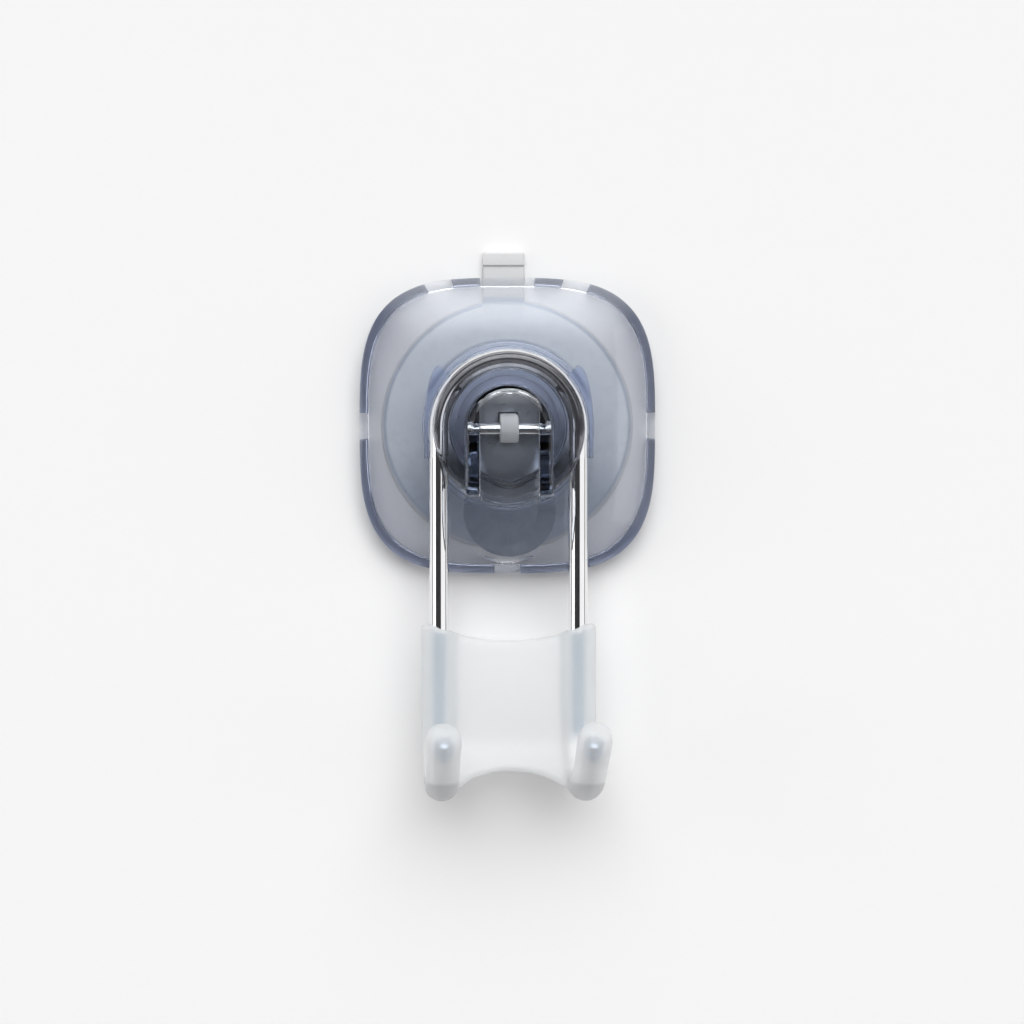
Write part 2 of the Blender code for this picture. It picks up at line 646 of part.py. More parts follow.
def make_grip_sleeve():
    """A translucent soft sleeve over both hooks, joined by a web with hollowed top and bottom edges."""
    sleeve = sleeve_limb("grip_sleeve", -1, parts)
    combine(sleeve, sleeve_limb("right_sleeve", 1, cutters), "UNION")
    combine(sleeve, side_plate("sleeve_web", web_side(), ARCH_RADIUS, cutters, WIRE_OUT), "UNION")
    for name, side in (("left_bore", -1), ("right_bore", 1)):
        points = hook_limb(side, 0, HOOK_RUN + GAP)
        bore = tube(name, points, [WIRE_RADIUS + GAP] * len(points), cutters)
        combine(sleeve, bore, "DIFFERENCE")
    top = arc((0, SLEEVE_TOP_ARC - SLEEVE_TOP_DROP), SLEEVE_TOP_ARC, 0, 2 * math.pi, 2 * TURN_STEPS)[:-1]
    combine(sleeve, plate("sleeve_top", [top], 0, WIRE_OUT + SLEEVE_RADIUS + GAP, cutters), "DIFFERENCE")
    foot = arc((0, -WEB_FOOT_DROP - WEB_FOOT_ARC), WEB_FOOT_ARC, 0, 2 * math.pi, TURN_STEPS)[:-1]
    web_front = WIRE_OUT + HOOK_BEND + OVERLAP
    combine(sleeve, plate("web_foot", [foot], 0, web_front, cutters), "DIFFERENCE")
    paint(sleeve, (0.86, 0.88, 0.9), 0.45, transmission=0.3)


clear_scene()
seat = bpy.data.objects.new("wall_seat", None)
bpy.context.scene.collection.objects.link(seat)
seat.rotation_euler = (math.pi / 2, 0, 0)
parts = new_collection("suction_wall_hook")
cutters = new_collection("cutters")

make_suction_cup()
make_stem()
make_pivot_pin()
make_cam_plate()
make_hub_collar()
make_housing_shell()
make_lever()
make_wire_hook()
make_grip_sleeve()
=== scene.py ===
"""A lever-lock suction wall hook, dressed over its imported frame: x is right, -Y is out from the wall, +Z is up."""

import json
import math

import bmesh
import bpy
import numpy as np
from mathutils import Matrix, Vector


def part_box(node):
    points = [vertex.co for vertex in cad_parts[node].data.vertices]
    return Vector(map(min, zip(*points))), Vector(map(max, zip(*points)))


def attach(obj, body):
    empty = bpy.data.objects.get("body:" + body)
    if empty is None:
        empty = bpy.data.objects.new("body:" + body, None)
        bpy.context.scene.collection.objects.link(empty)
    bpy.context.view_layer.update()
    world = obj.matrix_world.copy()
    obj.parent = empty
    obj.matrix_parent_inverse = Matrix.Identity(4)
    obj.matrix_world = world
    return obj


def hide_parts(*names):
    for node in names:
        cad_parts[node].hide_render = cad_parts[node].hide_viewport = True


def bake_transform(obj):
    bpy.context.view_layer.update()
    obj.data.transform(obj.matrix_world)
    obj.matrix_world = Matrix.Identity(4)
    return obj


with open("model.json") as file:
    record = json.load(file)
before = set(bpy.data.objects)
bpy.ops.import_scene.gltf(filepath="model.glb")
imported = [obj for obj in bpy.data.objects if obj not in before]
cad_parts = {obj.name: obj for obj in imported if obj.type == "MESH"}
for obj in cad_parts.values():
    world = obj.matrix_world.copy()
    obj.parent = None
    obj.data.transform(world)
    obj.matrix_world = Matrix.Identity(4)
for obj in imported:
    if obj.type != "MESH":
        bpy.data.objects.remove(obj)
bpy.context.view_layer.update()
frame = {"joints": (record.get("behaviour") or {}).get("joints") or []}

# The suction cup is one soft moulding in clear, faintly blue vinyl: a flat sealing ring, a dished pocket and a
# boss that grips the stem's foot. A pull tab runs out of the ring at the top, to let air in under it.
# It is the first piece on the wall, and the stem pulls its middle outwards.
MM = 0.001
GAP = 0.3 * MM
WELD = 0.001 * MM
TURN_STEPS = 192
cup_low, cup_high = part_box("suction_cup")
CUP_RADIUS = cup_high.x
CUP_EDGE = 0.7 * MM
CUP_SKIN = 1.9 * MM
CUP_SEAL_WIDTH = 8.2 * MM
CUP_BAND = 1.6 * MM
CUP_POCKET = 2.9 * MM
CUP_POCKET_STEPS = 16
CUP_FILLET = 0.35 * MM
BOSS_FRONT = -cup_low.y
BOSS_LIP = 0.8 * MM
BOSS_RADIUS = 12.0 * MM
BOSS_HOLE = 9.4 * MM
BOSS_NECK = 4.4 * MM
TAB_HALF = 5.15 * MM
TAB_ASIDE = -0.9 * MM
TAB_TOP = cup_high.z
TAB_BACK = 0.25 * MM
TAB_FRONT = 1.45 * MM
TAB_BEAD_FRONT = 2.05 * MM
TAB_BEAD_LENGTH = 3.4 * MM
TAB_ROUND = 0.35 * MM
# The cup's colours: the tab's grey, a painted shade for the cup's lower half, and the cup's own faint blue.
CUP_COLOURS_AND_SHADE = ((0.80, 0.795, 0.79), (0.52, 0.58, 0.67), (0.92, 0.96, 0.99))
SHARP_ANGLE = math.radians(40)


def filleted(points, radius, steps=5):
    """Closed corners made round: a corner P becomes (1-t)^2 A + 2t(1-t) P + t^2 B for t from 0 to 1, where A
    and B lie a fillet's length from P on the two sides that meet there, and never past 0.45 of a side. A corner
    whose radius is 0 stays one point."""
    points = np.asarray(points, float)
    radius = np.broadcast_to(radius, points.shape[-2])
    back = np.roll(points, 1, -2) - points
    ahead = np.roll(points, -1, -2) - points
    back_length = np.maximum(np.linalg.norm(back, axis=-1, keepdims=True), 1e-12)
    ahead_length = np.maximum(np.linalg.norm(ahead, axis=-1, keepdims=True), 1e-12)
    reach = np.minimum(radius[:, None], 0.45 * np.minimum(back_length, ahead_length))
    start = (points + back / back_length * reach)[..., None, :]
    end = (points + ahead / ahead_length * reach)[..., None, :]
    t = np.linspace(0, 1, steps + 1)[:, None]
    curve = (1 - t) ** 2 * start + 2 * t * (1 - t) * points[..., None, :] + t**2 * end
    curve = curve.reshape(*points.shape[:-2], -1, points.shape[-1])
    kept = np.repeat(radius > 0, steps + 1) | (np.arange(curve.shape[-2]) % (steps + 1) == 0)
    return curve[..., kept, :]


def stand(across, up, out):
    """Points of the wall's plane, across, up and out from it, in the frame's own axes."""
    return np.stack(np.broadcast_arrays(across, -np.asarray(out), up), -1)


def tidy_mesh(mesh):
    """Doubles merged, poles closed and faces turned outwards by the sign of the volume that they enclose."""
    bm = bmesh.new()
    bm.from_mesh(mesh)
    bmesh.ops.remove_doubles(bm, verts=bm.verts, dist=WELD)
    bmesh.ops.dissolve_degenerate(bm, dist=WELD / 2, edges=bm.edges)
    if bm.calc_volume(signed=True) < 0:
        bmesh.ops.reverse_faces(bm, faces=bm.faces)
    bm.to_mesh(mesh)
    bm.free()
    mesh.shade_smooth()
    mesh.set_sharp_from_angle(angle=SHARP_ANGLE)


def grid_piece(name, points, wrap_rows=False, caps=False):
    """A grid of points as quads: columns always close on themselves, rows where they wrap, and the end rows
    are filled where the piece has caps. End rows that shrink to a point are closed by merging."""
    rows, columns = points.shape[:2]
    i, j = np.meshgrid(np.arange(rows if wrap_rows else rows - 1), np.arange(columns), indexing="ij")
    below, beside = (i + 1) % rows, (j + 1) % columns
    corners = [i * columns + j, below * columns + j, below * columns + beside, i * columns + beside]
    faces = np.stack(corners, -1).reshape(-1, 4).tolist()
    if caps:
        first = list(range(columns))
        last = [(rows - 1) * columns + column for column in reversed(first)]
        faces += [first, last]
    mesh = bpy.data.meshes.new(name)
    mesh.from_pydata(points.reshape(-1, 3).tolist(), [], faces)
    tidy_mesh(mesh)
    made = bpy.data.objects.new(name, mesh)
    bpy.context.scene.collection.objects.link(made)
    return made


def turned(profile, steps=TURN_STEPS):
    """A profile of (radius, out) points swept round the hub's axis: (r cos a, r sin a, out)."""
    angle = np.linspace(0, 2 * math.pi, steps, endpoint=False)
    radius, out = profile[:, :1], profile[:, 1:]
    return stand(radius * np.cos(angle), radius * np.sin(angle), out)


def outline_normals(outline):
    """The outward normal at each point of a closed outline that runs anticlockwise."""
    along = np.roll(outline, -1, 0) - np.roll(outline, 1, 0)
    along /= np.maximum(np.linalg.norm(along, axis=1, keepdims=True), 1e-12)
    return np.stack([along[:, 1], -along[:, 0]], 1)


def slab(outline, low, high, rounding, steps=5):
    """An outline carried from one depth to another with round edges: the ring at each depth is the outline
    drawn in along its normals by r (1 - sin a), at r (1 - cos a) from the nearer face. Gives (u, v, depth)."""
    a = np.linspace(0, math.pi / 2, steps + 1)
    inset = rounding * (1 - np.sin(a))
    from_face = rounding * (1 - np.cos(a))
    inset = np.concatenate([inset, inset[::-1]])
    depth = np.concatenate([low + from_face, high - from_face[::-1]])
    ring = outline[None] - outline_normals(outline)[None] * inset[:, None, None]
    return ring[..., 0], ring[..., 1], np.broadcast_to(depth[:, None], ring.shape[:2])


def combine(piece, tool, operation):
    """One closed piece joined with, or cut by, another, which is used up."""
    made = piece.modifiers.new(operation, "BOOLEAN")
    made.operation = operation
    made.object = tool
    made.solver = "MANIFOLD"
    graph = bpy.context.evaluated_depsgraph_get()
    mesh = bpy.data.meshes.new_from_object(piece.evaluated_get(graph))
    piece.modifiers.clear()
    old, piece.data = piece.data, mesh
    mesh.name = piece.name
    mesh.materials.clear()
    bpy.data.meshes.remove(old)
    bpy.data.objects.remove(tool)
    mesh.shade_smooth()
    mesh.set_sharp_from_angle(angle=SHARP_ANGLE)


def finish(name, colours, roughness, grain, bump, stretch=(1, 1, 1), sockets=()):
    """A node finish on Object coordinates: a noise of the given grain drifts the colour between two, spreads
    the roughness between two values and raises a fine bump. What is even all over is set on the shader."""
    made = bpy.data.materials.new(name)
    made.use_nodes = True
    tree = made.node_tree
    shader = tree.nodes["Principled BSDF"]
    place = tree.nodes.new("ShaderNodeTexCoord")
    fit = tree.nodes.new("ShaderNodeMapping")
    fit.inputs["Scale"].default_value = [s / grain for s in stretch]
    tree.links.new(place.outputs["Object"], fit.inputs["Vector"])
    noise = tree.nodes.new("ShaderNodeTexNoise")
    noise.inputs["Scale"].default_value = 1.0
    noise.inputs["Detail"].default_value = 5.0
    noise.inputs["Roughness"].default_value = 0.6
    tree.links.new(fit.outputs["Vector"], noise.inputs["Vector"])
    ramp = tree.nodes.new("ShaderNodeValToRGB")
    ramp.color_ramp.elements[0].position = 0.3
    ramp.color_ramp.elements[1].position = 0.7
    ramp.color_ramp.elements[0].color = (*colours[0], 1)
    ramp.color_ramp.elements[1].color = (*colours[1], 1)
    tree.links.new(noise.outputs["Fac"], ramp.inputs["Fac"])
    tree.links.new(ramp.outputs["Color"], shader.inputs["Base Color"])
    spread = tree.nodes.new("ShaderNodeMapRange")
    spread.inputs["From Min"].default_value = 0.3
    spread.inputs["From Max"].default_value = 0.7
    spread.inputs["To Min"].default_value = roughness[0]
    spread.inputs["To Max"].default_value = roughness[1]
    tree.links.new(noise.outputs["Fac"], spread.inputs["Value"])
    tree.links.new(spread.outputs["Result"], shader.inputs["Roughness"])
    raised = tree.nodes.new("ShaderNodeBump")
    raised.inputs["Strength"].default_value = 1.0
    raised.inputs["Distance"].default_value = bump
    tree.links.new(noise.outputs["Fac"], raised.inputs["Height"])
    tree.links.new(raised.outputs["Normal"], shader.inputs["Normal"])
    for socket, value in sockets:
        shader.inputs[socket].default_value = value
    return made


def tint_through(material, colour, density):
    """A tint that deepens with the length of plastic that light crosses."""
    tree = material.node_tree
    inside = tree.nodes.new("ShaderNodeVolumeAbsorption")
    inside.inputs["Color"].default_value = (*colour, 1)
    inside.inputs["Density"].default_value = density
    tree.links.new(inside.outputs["Volume"], tree.nodes["Material Output"].inputs["Volume"])


def milky(material, colour, glow, clear):
    """Milkiness added to a finish: a share of the light glows through the plastic, and a share passes straight."""
    tree = material.node_tree
    through = tree.nodes.new("ShaderNodeBsdfTranslucent")
    through.inputs["Color"].default_value = (*colour, 1)
    passing = tree.nodes.new("ShaderNodeBsdfTransparent")
    layers = [tree.nodes["Principled BSDF"].outputs["BSDF"], through.outputs["BSDF"], passing.outputs["BSDF"]]
    laid = layers[0]
    for layer, share in zip(layers[1:], (glow, clear)):
        mixed = tree.nodes.new("ShaderNodeMixShader")
        mixed.inputs["Fac"].default_value = share
        tree.links.new(laid, mixed.inputs[1])
        tree.links.new(layer, mixed.inputs[2])
        laid = mixed.outputs["Shader"]
    tree.links.new(laid, tree.nodes["Material Output"].inputs["Surface"])


def places(piece):
    """Across, up and out of each point of a piece."""
    points = np.empty(3 * len(piece.data.vertices))
    piece.data.vertices.foreach_get("co", points)
    return points[0::3], points[2::3], -points[1::3]


def shaded(piece, material, share, colours):
    """A finish whose colour runs through the given colours, evenly spaced from 0 to 1, with a share that each point
    of the piece carries and that the finish's own noise lifts a little."""
    piece.data.attributes.new("shade", "FLOAT", "POINT").data.foreach_set("value", share)
    tree = material.node_tree
    carried = tree.nodes.new("ShaderNodeAttribute")
    carried.attribute_name = "shade"
    ramp = tree.nodes["Color Ramp"]
    stops = ramp.color_ramp.elements
    stops[0].position = 0
    stops[1].position = 1
    for between in range(1, len(colours) - 1):
        stops.new(between / (len(colours) - 1))
    for stop, colour in zip(stops, colours):
        stop.color = (*colour, 1)
    drift = tree.nodes.new("ShaderNodeMath")
    drift.operation = "MULTIPLY_ADD"
    drift.inputs[1].default_value = 0.1
    tree.links.new(tree.nodes["Noise Texture"].outputs["Fac"], drift.inputs[0])
    tree.links.new(carried.outputs["Fac"], drift.inputs[2])
    tree.links.new(drift.outputs["Value"], ramp.inputs["Fac"])
    piece.data.materials.append(material)


def ease(value, start, end):
    """0 before start, 1 after end, and t^2 (3 - 2t) between them."""
    t = np.clip((value - start) / (end - start), 0, 1)
    return t * t * (3 - 2 * t)


def seat_cup():
    """The cup's section: sealing ring, pocket that rises as s^2 (3 - 2s), skin over it and the stem's boss."""
    seal_inner = CUP_RADIUS - CUP_SEAL_WIDTH
    s = np.linspace(0, 1, CUP_POCKET_STEPS + 1)[1:]
    pocket = np.stack([seal_inner - s * (seal_inner - BOSS_HOLE), CUP_POCKET * s * s * (3 - 2 * s)], 1)
    skin = pocket[::-1] + [CUP_SKIN / 2, CUP_SKIN]
    skin = skin[(skin[:, 0] > BOSS_RADIUS + CUP_SKIN / 2) & (skin[:, 0] < seal_inner - CUP_FILLET)]
    band_out = CUP_EDGE + (CUP_SKIN - CUP_EDGE) * CUP_BAND / CUP_SEAL_WIDTH
    profile = [
        (0, CUP_POCKET + CUP_SKIN),
        (BOSS_HOLE, CUP_POCKET + CUP_SKIN),
        (BOSS_HOLE, BOSS_FRONT - BOSS_LIP),
        (BOSS_NECK, BOSS_FRONT - BOSS_LIP),
        (BOSS_NECK, BOSS_FRONT),
        (BOSS_RADIUS, BOSS_FRONT),
        (BOSS_RADIUS, CUP_POCKET + CUP_SKIN),
        *skin,
        (seal_inner, CUP_SKIN),
        (CUP_RADIUS - CUP_BAND, band_out),
        (CUP_RADIUS, CUP_EDGE),
        (CUP_RADIUS, 0),
        (seal_inner, 0),
        *pocket,
        (0, CUP_POCKET),
    ]
    radius = np.zeros(len(profile))
    radius[1:7] = CUP_FILLET
    radius[len(skin) + 9 : len(skin) + 11] = CUP_EDGE / 3
    return filleted(profile, radius)


def pull_tab():
    """The tab from the side, a strip with a finger bead along its top, carried across x with round edges."""
    foot = TAB_TOP - TAB_BEAD_LENGTH
    side = [
        (TAB_BACK, CUP_RADIUS - CUP_SEAL_WIDTH / 2),
        (CUP_EDGE, CUP_RADIUS - CUP_SEAL_WIDTH / 2),
        (TAB_FRONT, CUP_RADIUS + TAB_FRONT),
        (TAB_FRONT, foot),
        (TAB_BEAD_FRONT, foot + 0.2 * MM),
        (TAB_BEAD_FRONT, TAB_TOP),
        (TAB_BACK, TAB_TOP),
    ]
    outline = filleted(side, TAB_ROUND)
    out, up, across = slab(outline, TAB_ASIDE - TAB_HALF, TAB_ASIDE + TAB_HALF, TAB_ROUND)
    return stand(across, up, out)


cup = grid_piece("cup", turned(seat_cup()))
combine(cup, grid_piece("pull_tab", pull_tab(), caps=True), "UNION")
vinyl = finish(
    "clear_vinyl",
    CUP_COLOURS_AND_SHADE[:2],
    (0.22, 0.36),
    2.5 * MM,
    0.01 * MM,
    sockets=[("IOR", 1.46)],
)
milky(vinyl, (0.84, 0.90, 0.95), glow=0.06, clear=0.08)
across, up, out = places(cup)
# Painted shade: the cup darkens to a deeper blue grey towards its bottom, where the hub shades it. The tab and the
# outer edge of the sealing ring take the tab's grey.
cup_painted_shade = 0.5 + 0.5 * ease(up, -24 * MM, -2 * MM)
shaded(cup, vinyl, np.where(np.hypot(across, up) < CUP_RADIUS - CUP_BAND / 2, cup_painted_shade, 0), CUP_COLOURS_AND_SHADE)
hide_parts("suction_cup")
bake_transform(cup)

# The stem is a flat bar moulded in white plastic, with a round foot held in the cup's boss and an eye for the
# pivot pin. The lever's cams lift it, and it pulls the cup's middle off the wall.
stem_low, stem_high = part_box("stem")
STEM_HALF_WIDTH = 2.3 * MM
STEM_HALF_HEIGHT = 3.4 * MM
FOOT_RADIUS = stem_high.x
FOOT_BACK = -stem_high.y
FOOT_FRONT = FOOT_BACK + 1.7 * MM
STEM_ROUND = 0.5 * MM
EYE_STEPS = 24
pivot = next(joint for joint in frame["joints"] if joint["name"] == "lever_hinge")
PIN_OUT = -pivot["pos"][1] if "pos" in pivot else -pivot["pos_m"][1]
PIN_CLEAR = 0.15 * MM
PIN_RADIUS = 1.4 * MM


def stem_bar():
    """The stem from the side: a bar that ends in half a circle about the pin, carried across x."""
    turn = np.linspace(-math.pi / 2, math.pi / 2, EYE_STEPS + 1)
    eye = np.stack([PIN_OUT + STEM_HALF_HEIGHT * np.cos(turn), STEM_HALF_HEIGHT * np.sin(turn)], 1)
    root = (FOOT_BACK + FOOT_FRONT) / 2
    outline = np.concatenate([[(root, -STEM_HALF_HEIGHT)], eye, [(root, STEM_HALF_HEIGHT)]])
    out, up, across = slab(outline, -STEM_HALF_WIDTH, STEM_HALF_WIDTH, STEM_ROUND)
    return stand(across, up, out)


def cross_bar(radius, half_length, rounding, steps=5):
    """A round bar across x about the pin: rings of radius r - d (1 - sin a), d (1 - cos a) from each end."""
    a = np.linspace(0, math.pi / 2, steps + 1)
    inset = rounding * (1 - np.sin(a))
    from_end = rounding * (1 - np.cos(a))
    across = np.concatenate([[-half_length], from_end - half_length, half_length - from_end[::-1], [half_length]])
    ring = radius - np.concatenate([[radius], inset, inset[::-1], [radius]])
    turn = np.linspace(0, 2 * math.pi, 64, endpoint=False)
    return stand(across[:, None], ring[:, None] * np.sin(turn), PIN_OUT + ring[:, None] * np.cos(turn))


foot = [(0, FOOT_BACK), (FOOT_RADIUS, FOOT_BACK), (FOOT_RADIUS, FOOT_FRONT), (0, FOOT_FRONT)]
stem = grid_piece("stem_bar", stem_bar(), caps=True)
foot_rounding = np.array([0, STEM_ROUND, STEM_ROUND, 0])
combine(stem, grid_piece("stem_foot", turned(filleted(foot, foot_rounding))), "UNION")
combine(stem, grid_piece("stem_eye", cross_bar(PIN_RADIUS + PIN_CLEAR, 3 * STEM_HALF_WIDTH, 0.1 * MM)), "DIFFERENCE")
white_plastic = finish(
    "white_plastic",
    ((0.94, 0.94, 0.93), (0.97, 0.97, 0.965)),
    (0.28, 0.42),
    1.2 * MM,
    0.01 * MM,
    sockets=[("IOR", 1.46)],
)
stem.data.materials.append(white_plastic)
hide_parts("stem")
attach(stem, "stem_slider")

# The pivot pin is a short length of bright drawn steel rod with broken edges, pressed through the stem's eye.
PIN_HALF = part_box("pivot_pin")[1].x
pin = grid_piece("pin", cross_bar(PIN_RADIUS, PIN_HALF, 0.35 * MM))
drawn_steel = finish(
    "drawn_steel",
    ((0.70, 0.70, 0.71), (0.82, 0.82, 0.82)),
    (0.10, 0.24),
    0.5 * MM,
    0.003 * MM,
    stretch=(0.08, 1, 1),
    sockets=[("Metallic", 1.0)],
)
pin.data.materials.append(drawn_steel)
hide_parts("pivot_pin")
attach(pin, "stem_slider")

# The housing shell is one polished moulding in clear plastic with a smoky blue tint: a squarish dome with a
# skirt, notches round the skirt's foot, a round turret in the middle and a finger scoop under the lever's toe. Two
# thin ears with pointed tops stand on the turret, one beside each leg of the wire, and keep it from swinging.
SHELL_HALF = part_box("housing_shell")[1].x
SHELL_POWER = 3.4
SKIRT_LIFT = 0.4 * MM
SKIRT_WALL = 2.3 * MM
RIM_FRONT = 5.2 * MM
RIM_ROUND = 1.0 * MM
DOME_RISE = 3.0 * MM
DOME_STEPS = 72
UNDER_STEPS = 24
FLANGE_THICK = 2.0 * MM
TURRET_RADIUS = 21.2 * MM
TURRET_WALL = 2.0 * MM
PLATFORM_FRONT = 11.4 * MM
PLATFORM_BACK = 9.2 * MM
PLATFORM_HOLE = 14.7 * MM
LIP_FRONT = 12.9 * MM
LIP_WALL = 1.3 * MM
SCOOP_DROP = 20.0 * MM
SCOOP_REACH = 14.1 * MM
SCOOP_ENDS = np.cos(np.radians([50, 30]))
SCOOP_DEPTH = 1.1 * MM
SCOOP_POWER = 14.0
SCOOP_STEPS = 120
SHELL_FILLET = 0.45 * MM
RING_STEPS = 360
WINDOW_FRONT = 3.45 * MM
WINDOW_EDGE = 0.12 * MM
SIDE_WINDOW = 6.7 * MM
TOP_WINDOW = 7.2 * MM
TOP_WINDOW_AT = 17.25 * MM
TAB_WINDOW = 13.7 * MM
EAR_INNER = 19.8 * MM
EAR_OUTER = 20.7 * MM
EAR_TIP_RADIUS = 22.9 * MM
EAR_TIP_ANGLE = math.radians(41.7)
EAR_FOOT_DROP = 7.4 * MM
EAR_BACK = 7.4 * MM
EAR_FRONT = 18.0 * MM
EAR_ROUND = 0.25 * MM
EAR_STEPS = 16
# Painted shade: the skirt darkens towards its foot, and the turret's wall a little on its upper half.
SKIRT_PAINTED_SHADE = ((1, 1, 1), (0.32, 0.35, 0.43))
TURRET_PAINTED_SHADE = 0.9
SMOKE = (0.08, 0.28, 0.84)
SMOKE_DENSITY = 36.0


def dome(half, drop):
    """(half width, out, power) of the dome: it falls as the square of the way to the rim, and turns from a
    circle into a rounded square on the way."""
    along = (half - TURRET_RADIUS) / (SHELL_HALF - TURRET_RADIUS)
    out = RIM_FRONT + DOME_RISE * (1 - along * np.abs(along)) - drop
    return np.stack([half, out, 2 + (SHELL_POWER - 2) * np.maximum(along, 0)], -1)


def shell_section():
    """The shell's section as a closed loop of (half width, out, power), its corners rounded."""
    skirt_inner = SHELL_HALF - SKIRT_WALL
    lip_inner = TURRET_RADIUS - LIP_WALL
    well = TURRET_RADIUS - TURRET_WALL
    top = dome(np.linspace(TURRET_RADIUS, SHELL_HALF, DOME_STEPS + 1), 0)
    under = dome(np.linspace(skirt_inner, well, UNDER_STEPS), FLANGE_THICK)
    under[0, 2] = SHELL_POWER
    loop = np.array(
        [
            (PLATFORM_HOLE, PLATFORM_FRONT, 2),
            (lip_inner, PLATFORM_FRONT, 2),
            (lip_inner, LIP_FRONT, 2),
            (TURRET_RADIUS, LIP_FRONT, 2),
            *top,
            (SHELL_HALF, SKIRT_LIFT, SHELL_POWER),
            (skirt_inner, SKIRT_LIFT, SHELL_POWER),
            *under,
            (well, PLATFORM_BACK, 2),
            (PLATFORM_HOLE, PLATFORM_BACK, 2),
        ]
    )
    loop[:, :2] /= MM
    rim = 3 + len(top)
    radius = np.zeros(len(loop))
    radius[:5] = SHELL_FILLET / MM
    radius[[rim + 1, rim + 2, rim + 3, -3, -2, -1]] = SHELL_FILLET / MM
    radius[rim] = RIM_ROUND / MM
    made = filleted(loop, radius)
    made[:, :2] *= MM
    return made


def window_spans():
    """The angles that each notch in the skirt takes, from the places of its two edges on the rim."""
    reach = SHELL_HALF - SKIRT_WALL / 2
    half_side = math.atan2(SIDE_WINDOW / 2, reach)
    half_tab = math.atan2(TAB_WINDOW / 2, reach)
    near = math.atan2(TOP_WINDOW_AT - TOP_WINDOW / 2, reach)
    far = math.atan2(TOP_WINDOW_AT + TOP_WINDOW / 2, reach * 0.985)
    up = math.pi / 2
    return [
        (-half_side, half_side),
        (math.pi - half_side, math.pi + half_side),
        (3 * up - half_side, 3 * up + half_side),
        (up - half_tab, up + half_tab),
        (up - far, up - near),
        (up + near, up + far),
    ]


def shell_surface():
    """The section carried round the hub: at angle a its half width h lies at h / (|cos a|^p + |sin a|^p)^(1/p),
    and in a notch no point of the skirt reaches further back than the notch's front."""
    section = shell_section()
    spans = window_spans()
    edge = WINDOW_EDGE / SHELL_HALF
    marks = [end + turn for span in spans for end in span for turn in (-edge, edge)]
    marks = np.mod(marks, 2 * math.pi)
    even = np.linspace(0, 2 * math.pi, RING_STEPS, endpoint=False)
    below = 1.5 * math.pi + np.linspace(-0.5, 0.5, SCOOP_STEPS)
    angle = np.sort(np.concatenate([even, marks, below]))
    half, out, power = (section[:, k, None] for k in range(3))
    reach = half / (np.abs(np.cos(angle)) ** power + np.abs(np.sin(angle)) ** power) ** (1 / power)
    signed = np.mod(angle + math.pi / 4, 2 * math.pi) - math.pi / 4
    cut = np.zeros(angle.shape, bool)
    for start, end in spans:
        cut |= (signed > start) & (signed < end)
    skirt = half > SHELL_HALF - SKIRT_WALL - 0.05 * MM
    out = np.where(skirt & cut & (out < WINDOW_FRONT), WINDOW_FRONT, out + 0 * angle)
    across, up = reach * np.cos(angle), reach * np.sin(angle)
    way = np.maximum(np.hypot(across, up + SCOOP_DROP) / SCOOP_REACH, 1e-9)
    downward = -(up + SCOOP_DROP) / SCOOP_REACH / way
    scoop = SCOOP_DEPTH * ease(way, 0.6, 0.85) * ease(downward, *SCOOP_ENDS) * (1 - np.minimum(way, 1) ** SCOOP_POWER)
    on_face = (half > TURRET_RADIUS) & (out > dome(half[:, 0], FLANGE_THICK / 2)[:, 1:2])
    out = out - np.where(on_face, scoop, 0)
    return stand(across, up, out)


def ear(side):
    """One ear from foot to tip: at each station a rounded bar's section lies between the arc along the wire and
    the outside, which is straight up to the axis and then an ellipse that ends at the tip."""
    turn = np.linspace(0, EAR_TIP_ANGLE, EAR_STEPS + 1)
    inner = EAR_INNER * np.stack([np.cos(turn), np.sin(turn)], 1)
    tip = EAR_TIP_RADIUS * np.array([math.cos(EAR_TIP_ANGLE), math.sin(EAR_TIP_ANGLE)])
    sweep = np.linspace(math.pi / 2, 0, EAR_STEPS + 1)
    outer = np.stack([tip[0] + (EAR_OUTER - tip[0]) * np.sin(sweep), tip[1] * np.cos(sweep)], 1)
    inner = np.concatenate([[(EAR_INNER, -EAR_FOOT_DROP)], inner])
    outer = np.concatenate([[(EAR_OUTER, -EAR_FOOT_DROP)], outer])
    section = [(inner, EAR_BACK), (outer, EAR_BACK), (outer, EAR_FRONT), (inner, EAR_FRONT)]
    loop = np.stack([np.insert(edge, 2, out, axis=1) for edge, out in section], 1)
    loop = filleted(loop, EAR_ROUND)
    return stand(side * loop[..., 0], loop[..., 1], loop[..., 2])


def smoky(name, smoke, density):
    """Polished clear plastic, tinted right through."""
    made = finish(
        name,
        ((0.96, 0.97, 0.98), (1.0, 1.0, 1.0)),
        (0.015, 0.05),
        6 * MM,
        0.004 * MM,
        sockets=[("Transmission Weight", 1.0), ("IOR", 1.5)],
    )
    tint_through(made, smoke, density)
    return made


def skirt_painted_shade(across, up, out):
    """Painted shade on the shell: 0 on the dome and in the notches, rising to 1 at the skirt's foot, and a part of that
    on the upper half of the turret's wall."""
    half = (np.abs(across) ** SHELL_POWER + np.abs(up) ** SHELL_POWER) ** (1 / SHELL_POWER)
    depth = np.clip((WINDOW_FRONT - 0.1 * MM - out) / (0.3 * MM), 0, 1)
    on_turret = np.abs(np.hypot(across, up) - TURRET_RADIUS) < 0.05 * MM
    turret = TURRET_PAINTED_SHADE * on_turret * ease(up, 4 * MM, 12 * MM)
    return np.where(half > SHELL_HALF - SKIRT_WALL - SHELL_FILLET, depth, turret)


shell = grid_piece("shell", shell_surface(), wrap_rows=True)
for name, side in (("left_ear", -1), ("right_ear", 1)):
    combine(shell, grid_piece(name, ear(side), caps=True), "UNION")
shaded(shell, smoky("smoky_shell", SMOKE, SMOKE_DENSITY), skirt_painted_shade(*places(shell)), SKIRT_PAINTED_SHADE)
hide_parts("housing_shell")
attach(shell, "housing")

